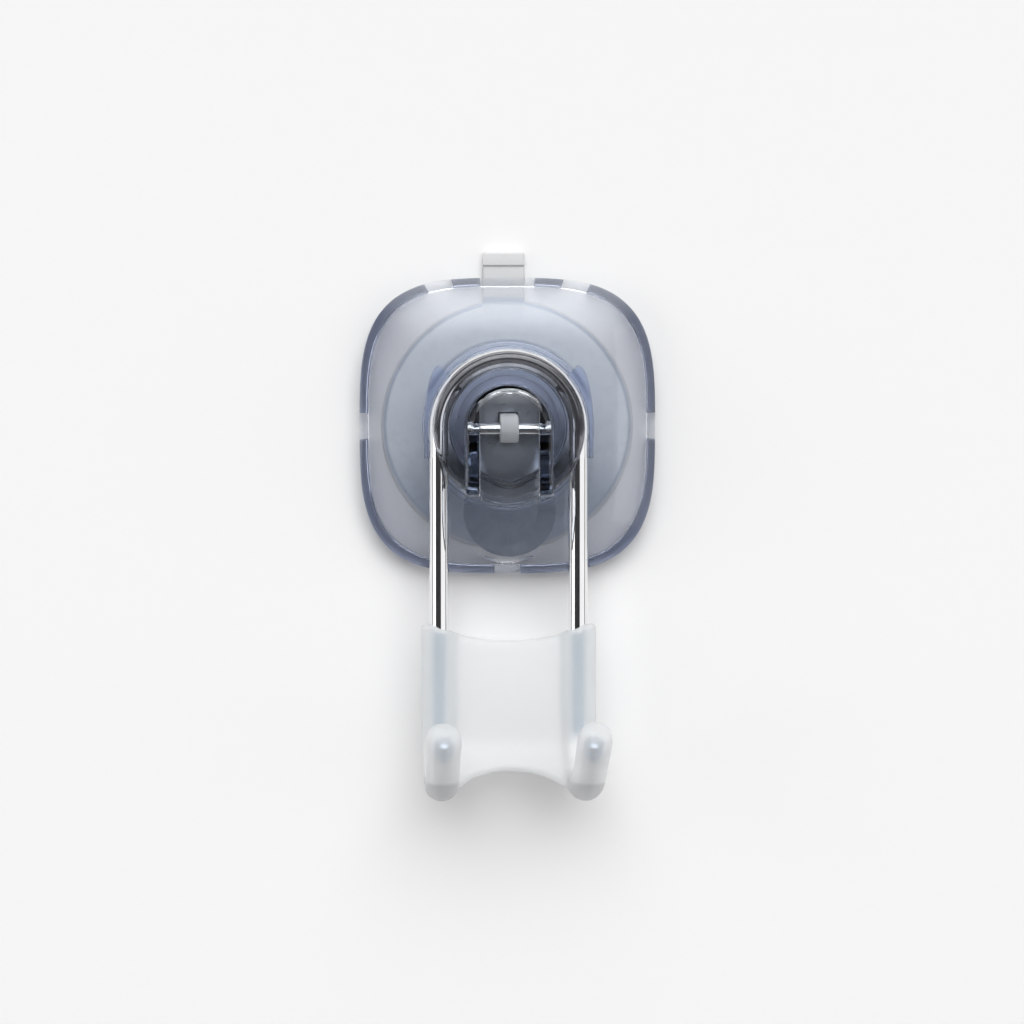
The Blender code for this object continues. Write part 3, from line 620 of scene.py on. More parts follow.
# The hub collar is a clear spool bonded into the turret: a floor and a rear flange behind the wire, a neck inside
# its arch and a cap in front of it. The neck and the cap are horseshoes, open below, where the lever lies.
STEM_HOLE = (STEM_HALF_WIDTH + GAP, STEM_HALF_HEIGHT + GAP)
FLOOR_BACK = 8.2 * MM
FLOOR_FRONT = 10.4 * MM
NECK_RADIUS = 14.4 * MM
REAR_RADIUS = 17.2 * MM
REAR_BACK = 11.7 * MM
REAR_FRONT = 13.2 * MM
CAVITY_RADIUS = 13.2 * MM
CAP_RADIUS = 18.6 * MM
CAP_BACK = 18.6 * MM
CAP_FRONT = 21.6 * MM
CAP_ROUND = 1.0 * MM
SLOT_HALF = 10.6 * MM
COLLAR_FILLET = 0.3 * MM
SEAM = 0.3 * MM
SLOT_ROUND = 0.6 * MM
# Painted shade for the collar: near black along the slot's front edge, for the shadow gap round the lever's nose.
SLOT_PAINTED_SHADE = ((1, 1, 1), (0, 0.004, 0.012))
COLLAR_DENSITY = 24.0
HORSESHOE_STEPS = 240
HORSESHOE_TIP = 0.25 * MM


def hole_reach(angle):
    """How far the stem's rectangular hole lies from the axis at an angle."""
    across = STEM_HOLE[0] / np.maximum(np.abs(np.cos(angle)), 1e-9)
    up = STEM_HOLE[1] / np.maximum(np.abs(np.sin(angle)), 1e-9)
    return np.minimum(across, up)


def holed_disc(section, rounding):
    """A section of (radius, out) swept round the axis, where a radius of 0 stands for the stem's hole."""
    corners = np.arctan2(STEM_HOLE[1], STEM_HOLE[0]) * np.array([1, -1, 1, -1]) + math.pi * np.array([0, 0, 1, 1])
    even = np.linspace(-math.pi / 2, 3 * math.pi / 2, TURN_STEPS, endpoint=False)
    angle = np.sort(np.concatenate([even, corners]))
    radius = np.where(section[:, :1] == 0, hole_reach(angle), section[:, :1])
    loop = np.stack([radius, section[:, 1:] + 0 * angle], -1).transpose(1, 0, 2)
    loop = filleted(loop, rounding).transpose(1, 0, 2)
    return stand(loop[..., 0] * np.cos(angle), loop[..., 0] * np.sin(angle), loop[..., 1])


def horseshoe(slot, outer, back, front, rounding):
    """A ring round the lever's slot, from one open end over the top to the other: at angle a it runs from the
    slot's edge, s above the axis and s / |cos a| below it, to the outer radius."""
    end = math.acos(slot / (outer - HORSESHOE_TIP))
    angle = np.linspace(-end, math.pi + end, HORSESHOE_STEPS)
    inner = np.where(np.sin(angle) > 0, slot, slot / np.maximum(np.abs(np.cos(angle)), 1e-9))
    corners = np.array([(0, back), (1, back), (1, front), (0, front)])
    radius = inner[:, None] + (outer - inner)[:, None] * corners[:, 0]
    loop = filleted(np.stack([radius, corners[:, 1] + 0 * radius], -1), rounding)
    return stand(loop[..., 0] * np.cos(angle)[:, None], loop[..., 0] * np.sin(angle)[:, None], loop[..., 1])


def collar_painted_shade(across, up, out):
    """Painted shade on the collar: a dark line along the upper half of the slot's front edge, for the shadow gap round
    the lever's nose, and lighter shade on the slot's sides, on the back of the cap's two arms, on the lower half of the
    rear flange and low on the floor's back."""
    away = np.hypot(across, up)
    into = np.where(up > 0, away, np.abs(across)) - SLOT_HALF
    clip = 0.005 * MM
    edge = (out < CAP_FRONT - clip) & (out > CAP_FRONT - SLOT_ROUND + clip) & (into > clip) & (into < SLOT_ROUND - clip)
    side = 0.6 * (into < SEAM / 5) * (out > REAR_FRONT) * (1 - ease(up, 1 * MM, 7 * MM))
    arms = 0.8 * (np.abs(out - CAP_BACK) < COLLAR_FILLET + clip) * ease(-up, 2 * MM, 10 * MM)
    rear = 0.4 * (away > CAVITY_RADIUS - clip) * (away < REAR_RADIUS - clip) * (out > FLOOR_FRONT - clip)
    rear = rear * (out < REAR_FRONT + clip) * ease(-up, 2 * MM, 8 * MM)
    under = 0.7 * (out < FLOOR_BACK + clip) * (away > NECK_RADIUS / 2) * (1 - ease(up, -2 * MM, 6 * MM))
    return np.maximum.reduce([0.7 * edge * ease(up, -1 * MM, 1 * MM), side, arms, rear, under])


collar_floor = np.array(
    [
        (0, FLOOR_BACK),
        (NECK_RADIUS, FLOOR_BACK),
        (NECK_RADIUS, REAR_BACK),
        (REAR_RADIUS, REAR_BACK),
        (REAR_RADIUS, REAR_FRONT),
        (CAVITY_RADIUS, REAR_FRONT),
        (CAVITY_RADIUS, FLOOR_FRONT),
        (0, FLOOR_FRONT),
    ]
)
collar = grid_piece("collar", holed_disc(collar_floor, COLLAR_FILLET), wrap_rows=True)
neck = horseshoe(SLOT_HALF + SEAM / 10, NECK_RADIUS, REAR_FRONT - SEAM, CAP_BACK + SEAM, 0.1 * MM)
cap = horseshoe(SLOT_HALF, CAP_RADIUS, CAP_BACK, CAP_FRONT, np.array([COLLAR_FILLET, COLLAR_FILLET, CAP_ROUND, SLOT_ROUND]))
combine(collar, grid_piece("collar_neck", neck, caps=True), "UNION")
combine(collar, grid_piece("collar_cap", cap, caps=True), "UNION")
shaded(collar, smoky("smoky_collar", SMOKE, COLLAR_DENSITY), collar_painted_shade(*places(collar)), SLOT_PAINTED_SHADE)
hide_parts("hub_collar")
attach(collar, "housing")

# The cam plate is a stamped steel disc on the collar's floor, with the stem's hole through it. The lever's two
# cams press and slide on it. A painted shadow darkens a ring on its upper half, where the gap round the lever's nose is
# seen.
plate_low, plate_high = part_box("cam_plate")
PLATE_RADIUS = plate_high.x
PLATE_ROUND = 0.1 * MM
PLATE_STEEL_AND_SHADOW = ((0.385, 0.405, 0.455), (0.006, 0.007, 0.010))
PAINTED_SHADOW_RING = np.array([9.0, 9.3, 10.0, 10.3]) * MM
plate_section = [(0, -plate_high.y), (PLATE_RADIUS, -plate_high.y), (PLATE_RADIUS, -plate_low.y)]
plate_section += [(radius, -plate_low.y) for radius in (*PAINTED_SHADOW_RING[::-1], 0)]
plate_rounding = np.array([1, 1, 1, 0, 0, 0, 0, 1]) * PLATE_ROUND
cam_plate = grid_piece("plate", holed_disc(np.array(plate_section), plate_rounding), wrap_rows=True)
stamped_steel = finish(
    "stamped_steel",
    PLATE_STEEL_AND_SHADOW,
    (0.26, 0.36),
    0.6 * MM,
    0.001 * MM,
    stretch=(0.3, 1, 1),
    sockets=[("Metallic", 1.0)],
)
across, up, out = places(cam_plate)
away = np.hypot(across, up)
painted_shadow_share = ease(away, *PAINTED_SHADOW_RING[:2]) * (1 - ease(away, *PAINTED_SHADOW_RING[2:])) * ease(up, 0, 3 * MM)
shaded(cam_plate, stamped_steel, painted_shadow_share, PLATE_STEEL_AND_SHADOW)
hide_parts("cam_plate")
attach(cam_plate, "housing")

# The lever is a clear moulding in the same smoky plastic, bored for the pin: a round nose and a paddle with a
# finger dish in front, and behind them two cheeks whose edges are the cams.
LEVER_HALF = 10.2 * MM
FACE_FRONT = 5.5 * MM
FACE_THICK = 1.8 * MM
FACE_POWER = 12.0
NOSE_RADIUS = 10.47 * MM
NOSE_TRIM = 0.2 * MM
NOSE_FLAT = 8.9 * MM
PADDLE_RADIUS = 11.3 * MM
PADDLE_DROP = 20.0 * MM
PADDLE_THICK = 2.6 * MM
PADDLE_EDGE = 1.2 * MM
PADDLE_BEND_DROP = 12.0 * MM
PADDLE_SET_BACK = 4.5 * MM
CHANNEL_HALF = 7.4 * MM
CHEEK_TOP = 6.2 * MM
CHEEK_DROP = 16.0 * MM
CAM_HEIGHT = 10.5 * MM
CAM_FALL = 1.6 * MM
CAM_TURN = math.radians(72)
POCKET_DROP = 18.7 * MM
DISH_DROP = 20.5 * MM
DISH_REACH = 9.0 * MM
DISH_DEPTH = 0.6 * MM
LEVER_FILLET = 0.4 * MM
FACE_COLUMNS = 72
LEVER_SMOKE = (0.10, 0.18, 0.32)
LEVER_DENSITY = 106.0


def face_front(up):
    """The lever's face in front of the pin: level, then bending back as the square of the way to the toe."""
    length = PADDLE_DROP + PADDLE_RADIUS - PADDLE_BEND_DROP
    along = np.maximum(0, (-up - PADDLE_BEND_DROP) / length)
    return FACE_FRONT - PADDLE_SET_BACK * along**2


def cheek_back(up):
    """The cheeks' rear edge: a straight run from the paddle to the cam, then the cam, an involute whose reach
    h - f t towards the plate falls evenly with its turn t."""
    t = np.linspace(0, CAM_TURN, 40)
    reach = CAM_HEIGHT - CAM_FALL * t
    cam_up = reach * np.sin(t) - CAM_FALL * np.cos(t)
    cam_out = -(reach * np.cos(t) + CAM_FALL * np.sin(t))
    toe_out = face_front(np.array(-CHEEK_DROP)) - PADDLE_THICK
    ups = np.concatenate([[-CHEEK_DROP, -2 * CAM_FALL], cam_up])
    outs = np.concatenate([[toe_out, 0.1 * MM - CAM_HEIGHT], cam_out])
    return np.interp(up, ups, outs)


def lever_surface():
    """Cross-sections carried down the lever. The face of each stands (1 - u^n)^(1/n) of its rise above the edge,
    where u is the distance from the spine over the outline's, less a shallow finger dish. Behind it are the
    cheeks and a hollow between them, which ends in half a circle behind the paddle."""
    quarter = np.linspace(0, math.pi / 2, 25)
    nose = (LEVER_HALF - NOSE_TRIM) * np.cos(quarter)
    nose = nose[nose > CHEEK_TOP + 0.02 * MM]
    toe = -PADDLE_DROP - PADDLE_RADIUS * np.sin(quarter)[1:]
    middle = np.linspace(CHEEK_TOP, -PADDLE_DROP, 90)
    up = np.concatenate([nose, [CHEEK_TOP + 0.01 * MM], middle, toe])[:, None]
    below_toe = np.sqrt(np.maximum(0, PADDLE_RADIUS**2 - (up + PADDLE_DROP) ** 2))
    crown = LEVER_HALF - NOSE_TRIM * ease(up, 5 * MM, 8.5 * MM)
    ball = NOSE_RADIUS + PADDLE_RADIUS * (1 - ease(up, -4 * MM, -0.4 * MM))
    above_nose = np.sqrt(np.maximum(0, crown**2 - np.maximum(up, 0) ** 2))
    swell = LEVER_HALF + (PADDLE_RADIUS - LEVER_HALF) * ease(-up, 11 * MM, PADDLE_DROP)
    half = np.where(up > 0, above_nose, np.where(up < -PADDLE_DROP, below_toe, swell))
    front = face_front(up)
    edge = front - FACE_THICK + (FACE_THICK - PADDLE_EDGE) * ease(-up, 14 * MM, 18 * MM)
    edge = np.minimum(edge, np.sqrt(ball**2 - crown**2))
    across = half * np.sin(np.linspace(-math.pi / 2, math.pi / 2, FACE_COLUMNS + 1))
    beyond = np.where(up > 0, up, np.minimum(up + PADDLE_DROP, 0))
    full = np.where(up > 0, crown, np.where(up < -PADDLE_DROP, PADDLE_RADIUS, half))
    u = np.minimum(1, np.hypot(across, beyond) / full)
    face = edge + (front - edge) * (1 - u**FACE_POWER) ** (1 / FACE_POWER)
    face = np.minimum(face, np.sqrt(np.maximum(edge**2, ball**2 - across**2 - np.maximum(up, 0) ** 2)))
    dish = np.maximum(0, 1 - (across**2 + (up + DISH_DROP) ** 2) / DISH_REACH**2)
    face = face - DISH_DEPTH * dish**2
    under = np.where(up < NOSE_FLAT, front - FACE_THICK, np.minimum(front - FACE_THICK, edge))
    rear = np.where(up >= -CHEEK_DROP, cheek_back(up), front - PADDLE_THICK)
    rear = np.where(up <= CHEEK_TOP, rear, np.minimum(front - FACE_THICK, edge))
    pocket = np.sqrt(np.maximum(0, CHANNEL_HALF**2 - np.minimum(0, up + POCKET_DROP) ** 2))
    foot = POCKET_DROP + CHANNEL_HALF
    deep = (1 - 0.5 * ease(-up, 16 * MM, 24 * MM)) * (1 - ease(-up, foot - 5 * MM, foot - 0.1 * MM))
    ceiling = rear + (under - rear) * deep
    flat = np.sqrt(np.maximum(0, NOSE_FLAT**2 - np.maximum(up, 0) ** 2))
    inner = np.minimum(pocket, np.where(up > CHEEK_TOP, np.maximum(flat, 0.3 * half), 0.96 * half))
    slant = np.minimum(1.6 * MM * ease(-up, 15 * MM, 19 * MM), 0.8 * inner)
    right = [(half, rear), (inner, rear), (inner - slant, ceiling)]
    left = [(-x, out) for x, out in reversed(right)]
    run = [(across[:, -1:], face[:, -1:]), *right, *left, (across[:, :1], face[:, :1])]
    run = np.stack([np.concatenate(pair, 1) for pair in run], 1)
    rounding = np.array([0, 1, 1, 1, 1, 1, 1, 0]) * LEVER_FILLET
    run = filleted(run, rounding)
    across = np.concatenate([across, run[..., 0]], 1)
    out = np.concatenate([face, run[..., 1]], 1)
    return stand(across, up + 0 * across, PIN_OUT + out)


lever = grid_piece("thumb_lever", lever_surface())
combine(lever, grid_piece("lever_bore", cross_bar(PIN_RADIUS + PIN_CLEAR, 2 * LEVER_HALF, 0.1 * MM)), "DIFFERENCE")
lever.data.materials.append(smoky("smoky_lever", LEVER_SMOKE, LEVER_DENSITY))
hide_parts("lever")
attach(lever, "lever")

# The wire hook is one length of steel wire, bent and then chrome plated: an arch that lies in the collar's groove,
# two legs and two J-hooks, which lean a little to the right and spread. Where the sleeve is moulded onto it, it mirrors
# milky plastic instead of air, and this reflection is painted in: dark bluish grey down the middle of the legs, pale on
# the hooks.
WIRE_RADIUS = 2.4 * MM
WIRE_OUT = 15.9 * MM
ARCH_RADIUS = 17.1 * MM
LEG_DROP = 75.6 * MM
HOOK_BEND = 11.0 * MM
HOOK_TURN = math.radians(138)
HOOK_RUN = 12.0 * MM
HOOK_LEAN = math.tan(math.radians(4.2))
HOOK_SPLAY = math.tan(math.radians(2.2))
WIRE_SIDES = 48
SLEEVE_TOP_DROP = 52.2 * MM
SLEEVE_TOP_ARC = 50.5 * MM
COVER_PAINTED_REFLECTION = ((0.97, 0.97, 0.97), (0.22, 0.32, 0.42))


def limb(side, start, run, leg_steps=60, bend_steps=60, run_steps=14):
    """Down a leg, round a bend of even radius and straight on to the tip; it drifts aside with its way out."""
    turn = np.linspace(0, HOOK_TURN, bend_steps + 1)
    leg = np.linspace(start, LEG_DROP, leg_steps, endpoint=False)
    bend_out, bend_drop = HOOK_BEND * (1 - np.cos(turn)), LEG_DROP + HOOK_BEND * np.sin(turn)
    ahead = np.linspace(0, run, run_steps + 1)[1:]
    out = np.concatenate([0 * leg, bend_out, bend_out[-1] + ahead * math.sin(HOOK_TURN)])
    drop = np.concatenate([leg, bend_drop, bend_drop[-1] + ahead * math.cos(HOOK_TURN)])
    across = side * ARCH_RADIUS + out * (HOOK_LEAN + side * HOOK_SPLAY)
    return stand(across, -drop, WIRE_OUT + out)


def rod(path, radius, sides):
    """A round bar along a path: each ring lies square to the path, about two axes drawn from a fixed slant."""
    ahead = np.gradient(path, axis=0)
    ahead /= np.linalg.norm(ahead, axis=1, keepdims=True)
    first = np.cross(ahead, np.array([0.70, 0.70, 0.14]))
    first /= np.linalg.norm(first, axis=1, keepdims=True)
    second = np.cross(ahead, first)
    turn = np.linspace(0, 2 * math.pi, sides, endpoint=False)
    ring = first[:, None] * np.cos(turn)[:, None] + second[:, None] * np.sin(turn)[:, None]
    return path[:, None] + ring * np.broadcast_to(radius, len(path))[:, None, None]


def domed(path, radius, rise, steps=8):
    """The end of a path drawn on into a dome, whose rings are r cos a at a height of rise sin a."""
    a = np.linspace(0, math.pi / 2, steps + 1)[1:]
    ahead = path[-1] - path[-2]
    ahead = ahead / np.linalg.norm(ahead)
    tip = path[-1] + ahead * (rise * np.sin(a))[:, None]
    return np.concatenate([path, tip]), np.concatenate([np.full(len(path), radius), radius * np.cos(a)])


def sleeve_top(across):
    """The drop of the sleeve's top edge: an arc that dips between the legs, and level outside them."""
    across = np.minimum(np.abs(across), ARCH_RADIUS + WIRE_RADIUS)
    return SLEEVE_TOP_DROP - SLEEVE_TOP_ARC + np.sqrt(SLEEVE_TOP_ARC**2 - across**2)


def painted_cover_reflection(across, up, out):
    """How dark the painted reflection makes the wire inside the sleeve: 1 down the middle of the legs, and 0 on the
    hooks.
    """
    hook = np.maximum(ease(-up, LEG_DROP - 2 * MM, LEG_DROP + 3 * MM), ease(out, WIRE_OUT + 3 * MM, WIRE_OUT + 7 * MM))
    aside = np.abs(np.abs(across) - ARCH_RADIUS) / WIRE_RADIUS
    return (1 - hook) * (1 - 0.75 * ease(aside, 0.2, 1))


turn = np.linspace(math.pi, 0, 121)
arch = stand(ARCH_RADIUS * np.cos(turn), ARCH_RADIUS * np.sin(turn), WIRE_OUT)
WIRE_DOME = 1.2 * MM
left_path, left_radius = domed(limb(-1, 0, HOOK_RUN - WIRE_DOME), WIRE_RADIUS, WIRE_DOME)
right_path, right_radius = domed(limb(1, 0, HOOK_RUN - WIRE_DOME), WIRE_RADIUS, WIRE_DOME)
wire_path = np.concatenate([left_path[:0:-1], arch, right_path[1:]])
wire_radius = np.concatenate([left_radius[:0:-1], np.full(len(arch), WIRE_RADIUS), right_radius[1:]])
wire = grid_piece("wire", rod(wire_path, wire_radius, WIRE_SIDES))
TIP_START = left_path[-1, 1] + 0.6 * WIRE_RADIUS
chrome = finish(
    "polished_chrome",
    ((0.86, 0.86, 0.87), (0.93, 0.93, 0.94)),
    (0.02, 0.07),
    2 * MM,
    0.002 * MM,
    stretch=(1, 1, 0.15),
    sockets=[("Metallic", 1.0)],
)
covered = finish(
    "covered_chrome",
    COVER_PAINTED_REFLECTION,
    (0.42, 0.52),
    2 * MM,
    0.002 * MM,
    sockets=[("Metallic", 0.15)],
)
# Painted reflection: the tips' chrome is a darker, bluish grey, for the wire's ends seen through the sleeve's tips.
capped = finish(
    "capped_chrome",
    ((0.40, 0.48, 0.60), (0.46, 0.54, 0.66)),
    (0.10, 0.16),
    2 * MM,
    0.002 * MM,
    sockets=[("Metallic", 1.0)],
)
wire.data.materials.append(chrome)
shaded(wire, covered, painted_cover_reflection(*places(wire)), COVER_PAINTED_REFLECTION)
wire.data.materials.append(capped)
face_middles = np.empty(3 * len(wire.data.polygons))
wire.data.polygons.foreach_get("center", face_middles)
under_sleeve = -face_middles[2::3] > sleeve_top(face_middles[0::3]) + 0.9 * MM
on_tip = face_middles[1::3] < TIP_START
wire.data.polygons.foreach_set("material_index", np.where(on_tip, 2, under_sleeve).astype(np.int32))
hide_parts("wire_hook")
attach(wire, "housing")

# The grip sleeve is moulded over both hooks in soft, translucent white plastic: a thick skin on each limb, domed
# over the wire's ends, and a thin web between the legs with hollowed top and bottom edges.
SLEEVE_RADIUS = 4.6 * MM
SLEEVE_TIP_RADIUS = 4.2 * MM
SLEEVE_TIP_COVER = 3.4 * MM
SLEEVE_VOXEL = 0.3 * MM
SLEEVE_MILK_AND_SHADE = ((0.96, 0.965, 0.97), (0.42, 0.42, 0.43))
WEB_THICK = 2.8 * MM
WEB_FOOT_DROP = 84.2 * MM
WEB_FOOT_ARC = 31.0 * MM
WEB_ROWS = 70
WEB_COLUMNS = 90


def sleeve_limb(side):
    """The skin on one hook, cut at the top to the sleeve's arc: rings near the top slide along it."""
    path, radius = domed(limb(side, SLEEVE_TOP_DROP, HOOK_RUN), SLEEVE_TIP_RADIUS, SLEEVE_TIP_COVER, 12)
    drop = -path[:, 2]
    radius = radius + (SLEEVE_RADIUS - SLEEVE_TIP_RADIUS) * (1 - ease(drop, LEG_DROP - 8 * MM, LEG_DROP + 6 * MM))
    radius = np.where(path[:, 1] < path[-13, 1], np.minimum(radius, SLEEVE_TIP_RADIUS), radius)
    points = rod(path, radius, 64)
    on_leg = path[:, 2] > -LEG_DROP
    share = np.where(on_leg, 1 - (drop - SLEEVE_TOP_DROP) / (LEG_DROP - SLEEVE_TOP_DROP), 0)
    points[..., 2] += share[:, None] * (SLEEVE_TOP_DROP - sleeve_top(points[..., 0]))
    return points


def sleeve_web():
    """A strip between the legs that follows the wire down and round its bend, from the top arc to the foot arch,
    with round edges: at (s, t) it lies s across and t of the way down, in a closed loop front and back."""
    across = np.linspace(-ARCH_RADIUS, ARCH_RADIUS, WEB_COLUMNS)
    top = sleeve_top(across)
    foot_drop = WEB_FOOT_DROP + WEB_FOOT_ARC - np.sqrt(np.maximum(0, WEB_FOOT_ARC**2 - across**2))
    bend_end = LEG_DROP + HOOK_BEND * math.pi / 2
    low = np.where(foot_drop < LEG_DROP + HOOK_BEND, np.arcsin(np.clip((foot_drop - LEG_DROP) / HOOK_BEND, 0, 1)), math.pi / 2)
    end = np.minimum(LEG_DROP + HOOK_BEND * low, bend_end)
    t = np.linspace(0, 1, WEB_ROWS)[:, None]
    way = top + (end - top) * t
    turn = np.clip((way - LEG_DROP) / HOOK_BEND, 0, math.pi / 2)
    out = HOOK_BEND * (1 - np.cos(turn))
    drop = np.minimum(way, LEG_DROP) + HOOK_BEND * np.sin(turn)
    from_edge = np.minimum(way - top, end - way) / (WEB_THICK / 2)
    half = WEB_THICK / 2 * np.sqrt(np.maximum(0, 1 - (1 - np.clip(from_edge, 0, 1)) ** 2))
    front = stand(across + out * HOOK_LEAN, -drop + half * np.sin(turn), WIRE_OUT + out + half * np.cos(turn))
    rear = stand(across + out * HOOK_LEAN, -drop - half * np.sin(turn), WIRE_OUT + out - half * np.cos(turn))
    return np.concatenate([front, rear[::-1]]).transpose(1, 0, 2)


def hook_painted_shade(across, up, out):
    """Painted shade: 1 on the lowest side of both hooks, which looks down into the dark, and 0 elsewhere."""
    side = np.sign(across)
    middle = side * ARCH_RADIUS + (out - WIRE_OUT) * (HOOK_LEAN + side * HOOK_SPLAY)
    aside = np.abs(across - middle) / SLEEVE_RADIUS
    return (1 - ease(aside, 0.75, 1.05)) * ease(-up, LEG_DROP + 9.0 * MM, LEG_DROP + 10.4 * MM)


sleeve = grid_piece("sleeve", sleeve_limb(-1), caps=True)
parts = [sleeve, grid_piece("right_limb", sleeve_limb(1), caps=True), grid_piece("web", sleeve_web(), caps=True)]
joined = bmesh.new()
for part in parts:
    joined.from_mesh(part.data)
joined.to_mesh(sleeve.data)
joined.free()
for part in parts[1:]:
    bpy.data.objects.remove(part)
remesh = sleeve.modifiers.new("one_skin", "REMESH")
remesh.mode = "VOXEL"
remesh.voxel_size = SLEEVE_VOXEL
remesh.use_smooth_shade = True
relax = sleeve.modifiers.new("soft_edges", "SMOOTH")
relax.factor = 0.5
relax.iterations = 90
graph = bpy.context.evaluated_depsgraph_get()
skin = bpy.data.meshes.new_from_object(sleeve.evaluated_get(graph))
sleeve.modifiers.clear()
sleeve.data = skin
skin.shade_smooth()
milk = finish(
    "milky_plastic",
    SLEEVE_MILK_AND_SHADE,
    (0.30, 0.40),
    3 * MM,
    0.004 * MM,
    sockets=[("IOR", 1.43), ("Specular IOR Level", 0.35)],
)
milky(milk, (0.95, 0.96, 0.97), glow=0.5, clear=0.4)
skin.materials.clear()
# Painted shade darkens the sleeve's underside at the bottom of both hooks.
shaded(sleeve, milk, hook_painted_shade(*places(sleeve)), SLEEVE_MILK_AND_SHADE)
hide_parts("grip_sleeve")
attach(sleeve, "housing")

# The stage is a plain pale wall close behind the cup, with an opening that the cup covers. It shows from the front
# only, so that the hook can be looked at from behind as well.
WALL_REACH = 4.0
WALL_OPENING = 30.6 * MM
WALL_BACK = 0.3 * MM
WALL_COLOUR = (0.90, 0.895, 0.895)
WALL_STEPS = 96
round_wall = np.linspace(0, 2 * math.pi, WALL_STEPS, endpoint=False)
wall_rings = np.array([[WALL_OPENING], [WALL_REACH]])
wall_points = stand(wall_rings * np.cos(round_wall), wall_rings * np.sin(round_wall), -WALL_BACK).reshape(-1, 3)
inner = np.arange(WALL_STEPS)
beside = (inner + 1) % WALL_STEPS
wall_faces = np.stack([inner, inner + WALL_STEPS, beside + WALL_STEPS, beside], 1)
wall_mesh = bpy.data.meshes.new("wall")
wall_mesh.from_pydata(wall_points.tolist(), [], wall_faces.tolist())
wall = bpy.data.objects.new("wall", wall_mesh)
bpy.context.scene.collection.objects.link(wall)
plaster = bpy.data.materials.new("pale_wall")
plaster.use_nodes = True
tree = plaster.node_tree
tree.nodes.remove(tree.nodes["Principled BSDF"])
matt = tree.nodes.new("ShaderNodeBsdfDiffuse")
matt.inputs["Color"].default_value = (*WALL_COLOUR, 1)
clear = tree.nodes.new("ShaderNodeBsdfTransparent")
geometry = tree.nodes.new("ShaderNodeNewGeometry")
choose = tree.nodes.new("ShaderNodeMixShader")
tree.links.new(geometry.outputs["Backfacing"], choose.inputs["Fac"])
tree.links.new(matt.outputs["BSDF"], choose.inputs[1])
tree.links.new(clear.outputs["BSDF"], choose.inputs[2])
tree.links.new(choose.outputs["Shader"], tree.nodes["Material Output"].inputs["Surface"])
wall_mesh.materials.append(plaster)

# The light is a pale room that is brighter above than below, with a broad soft-edged softbox above the camera, a lamp
# on each side and a dark card behind the camera, which draws the dark line down the chrome.
SOFTBOX_RISE = math.radians(38)
SOFTBOX_OUTER = math.radians(36)
SOFTBOX_INNER = math.radians(10)
SOFTBOX_LEVEL = 4.2
BEHIND_LEVEL = 1.0
CARD_OUT = 1.3
CARD_LEFT, CARD_RIGHT = math.radians(-38), math.radians(18)
CARD_LOW, CARD_HIGH = -0.45, -0.03


def aim(thing, target):
    """The thing's own -Z turned towards a point."""
    thing.rotation_euler = (Vector(target) - thing.location).to_track_quat("-Z", "Y").to_euler()


lamps = {
    "left_lamp": ((-1.25, -0.75, 0.1), (0.9, 0.9), 3.6, (1.0, 1.0, 1.0)),
    "right_lamp": ((1.05, -0.92, -0.05), (1.5, 0.9), 3.3, (1.0, 1.0, 1.0)),
}
for name, (place, (wide, high), power, colour) in lamps.items():
    light = bpy.data.lights.new(name, "AREA")
    light.shape = "RECTANGLE"
    light.size = wide
    light.size_y = high
    light.energy = power
    light.color = colour
    lamp = bpy.data.objects.new(name, light)
    bpy.context.scene.collection.objects.link(lamp)
    lamp.location = place
    aim(lamp, (0, 0, -20 * MM))
card_sides = CARD_OUT * np.tan([CARD_LEFT, CARD_RIGHT])
card_across = card_sides[[0, 1, 1, 0]]
card_up = np.array([CARD_LOW, CARD_LOW, CARD_HIGH, CARD_HIGH])
card_mesh = bpy.data.meshes.new("dark_card")
card_mesh.from_pydata(stand(card_across, card_up, CARD_OUT).tolist(), [], [(0, 1, 2, 3)])
card = bpy.data.objects.new("dark_card", card_mesh)
bpy.context.scene.collection.objects.link(card)
felt = bpy.data.materials.new("dark_felt")
felt.use_nodes = True
felt.node_tree.nodes["Principled BSDF"].inputs["Base Color"].default_value = (0.03, 0.03, 0.032, 1)
felt.node_tree.nodes["Principled BSDF"].inputs["Roughness"].default_value = 0.9
card_mesh.materials.append(felt)
card.visible_camera = False
room = bpy.data.worlds.new("pale_room")
bpy.context.scene.world = room
room.use_nodes = True
tree = room.node_tree
way = tree.nodes.new("ShaderNodeTexCoord")
height = tree.nodes.new("ShaderNodeSeparateXYZ")
tree.links.new(way.outputs["Generated"], height.inputs["Vector"])
spread = tree.nodes.new("ShaderNodeMapRange")
spread.inputs["From Min"].default_value = -1.0
tree.links.new(height.outputs["Z"], spread.inputs["Value"])
ramp = tree.nodes.new("ShaderNodeValToRGB")
ramp.color_ramp.elements[0].position = 0.3
ramp.color_ramp.elements[1].position = 0.6
ramp.color_ramp.elements[0].color = (0.15, 0.145, 0.145, 1)
ramp.color_ramp.elements[1].color = (0.30, 0.293, 0.293, 1)
tree.links.new(spread.outputs["Result"], ramp.inputs["Fac"])
tree.links.new(ramp.outputs["Color"], tree.nodes["Background"].inputs["Color"])
near = tree.nodes.new("ShaderNodeVectorMath")
near.operation = "DOT_PRODUCT"
near.inputs[1].default_value = (0.05, -math.cos(SOFTBOX_RISE), math.sin(SOFTBOX_RISE))
tree.links.new(way.outputs["Generated"], near.inputs[0])
fade = tree.nodes.new("ShaderNodeMapRange")
fade.interpolation_type = "SMOOTHSTEP"
fade.inputs["From Min"].default_value = math.cos(SOFTBOX_OUTER)
fade.inputs["From Max"].default_value = math.cos(SOFTBOX_INNER)
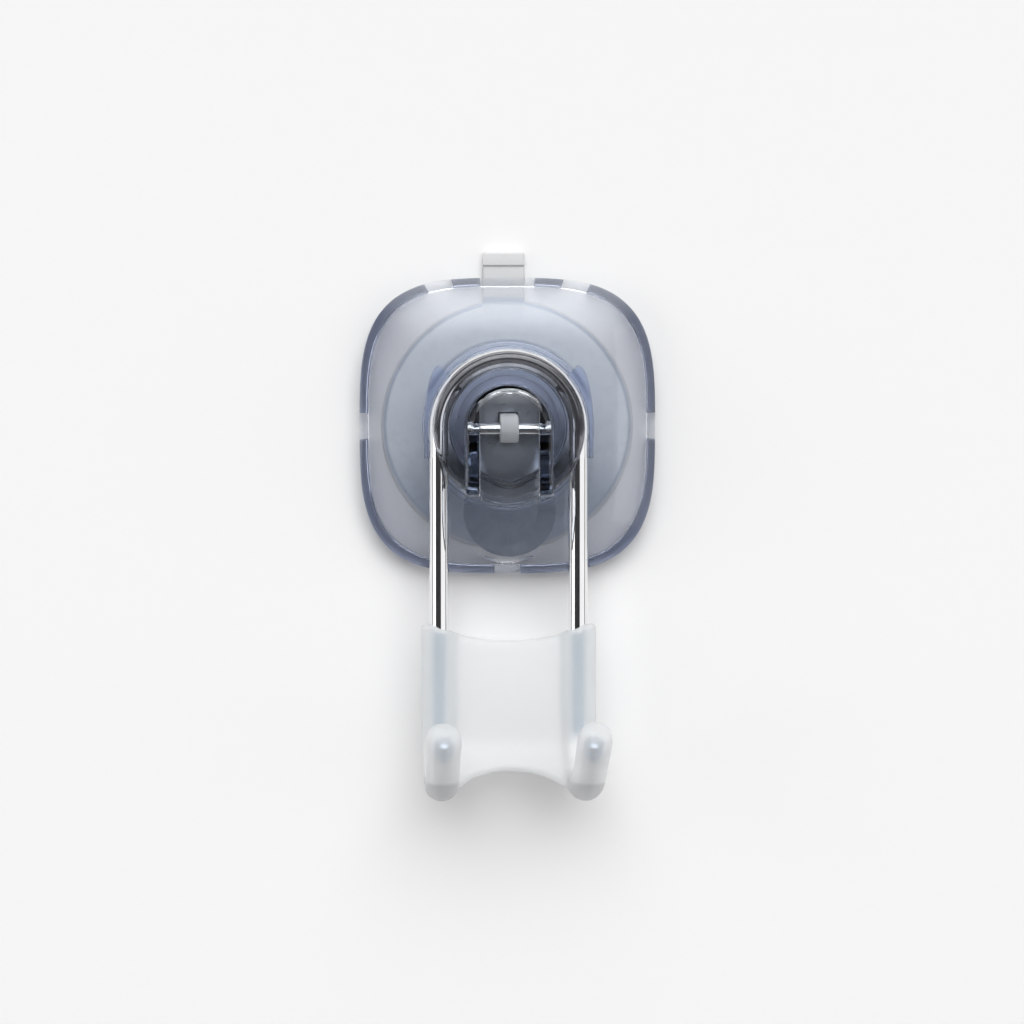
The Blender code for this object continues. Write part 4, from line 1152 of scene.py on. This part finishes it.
fade.inputs["To Max"].default_value = SOFTBOX_LEVEL
tree.links.new(near.outputs["Value"], fade.inputs["Value"])
softbox = tree.nodes.new("ShaderNodeBackground")
softbox.inputs["Color"].default_value = (0.98, 1.0, 1.0, 1)
tree.links.new(fade.outputs["Result"], softbox.inputs["Strength"])
both = tree.nodes.new("ShaderNodeAddShader")
tree.links.new(tree.nodes["Background"].outputs["Background"], both.inputs[0])
tree.links.new(softbox.outputs["Background"], both.inputs[1])
behind = tree.nodes.new("ShaderNodeMapRange")
behind.interpolation_type = "SMOOTHSTEP"
behind.inputs["To Max"].default_value = BEHIND_LEVEL
tree.links.new(height.outputs["Y"], behind.inputs["Value"])
glow = tree.nodes.new("ShaderNodeBackground")
tree.links.new(behind.outputs["Result"], glow.inputs["Strength"])
all_round = tree.nodes.new("ShaderNodeAddShader")
tree.links.new(both.outputs["Shader"], all_round.inputs[0])
tree.links.new(glow.outputs["Background"], all_round.inputs[1])
backdrop = tree.nodes.new("ShaderNodeBackground")
backdrop.inputs["Color"].default_value = (*WALL_COLOUR, 1)
seen = tree.nodes.new("ShaderNodeLightPath")
shown = tree.nodes.new("ShaderNodeMixShader")
tree.links.new(seen.outputs["Is Camera Ray"], shown.inputs["Fac"])
tree.links.new(all_round.outputs["Shader"], shown.inputs[1])
tree.links.new(backdrop.outputs["Background"], shown.inputs[2])
tree.links.new(shown.outputs["Shader"], tree.nodes["World Output"].inputs["Surface"])

# The camera stands a metre out, a little to the left and above the middle of the hook, and looks down on it.
CAMERA_PLACE = (-24.25 * MM, -1.0, 41.25 * MM)
CAMERA_AIM = (1.25 * MM, 0, -21.75 * MM)
CAMERA_LENS = 140.95
camera = bpy.data.objects.new("camera", bpy.data.cameras.new("camera"))
bpy.context.scene.collection.objects.link(camera)
camera.location = CAMERA_PLACE
aim(camera, CAMERA_AIM)
camera.data.sensor_width = 36.0
camera.data.lens = CAMERA_LENS
bpy.context.scene.camera = camera
bpy.context.scene.view_settings.view_transform = "Standard"
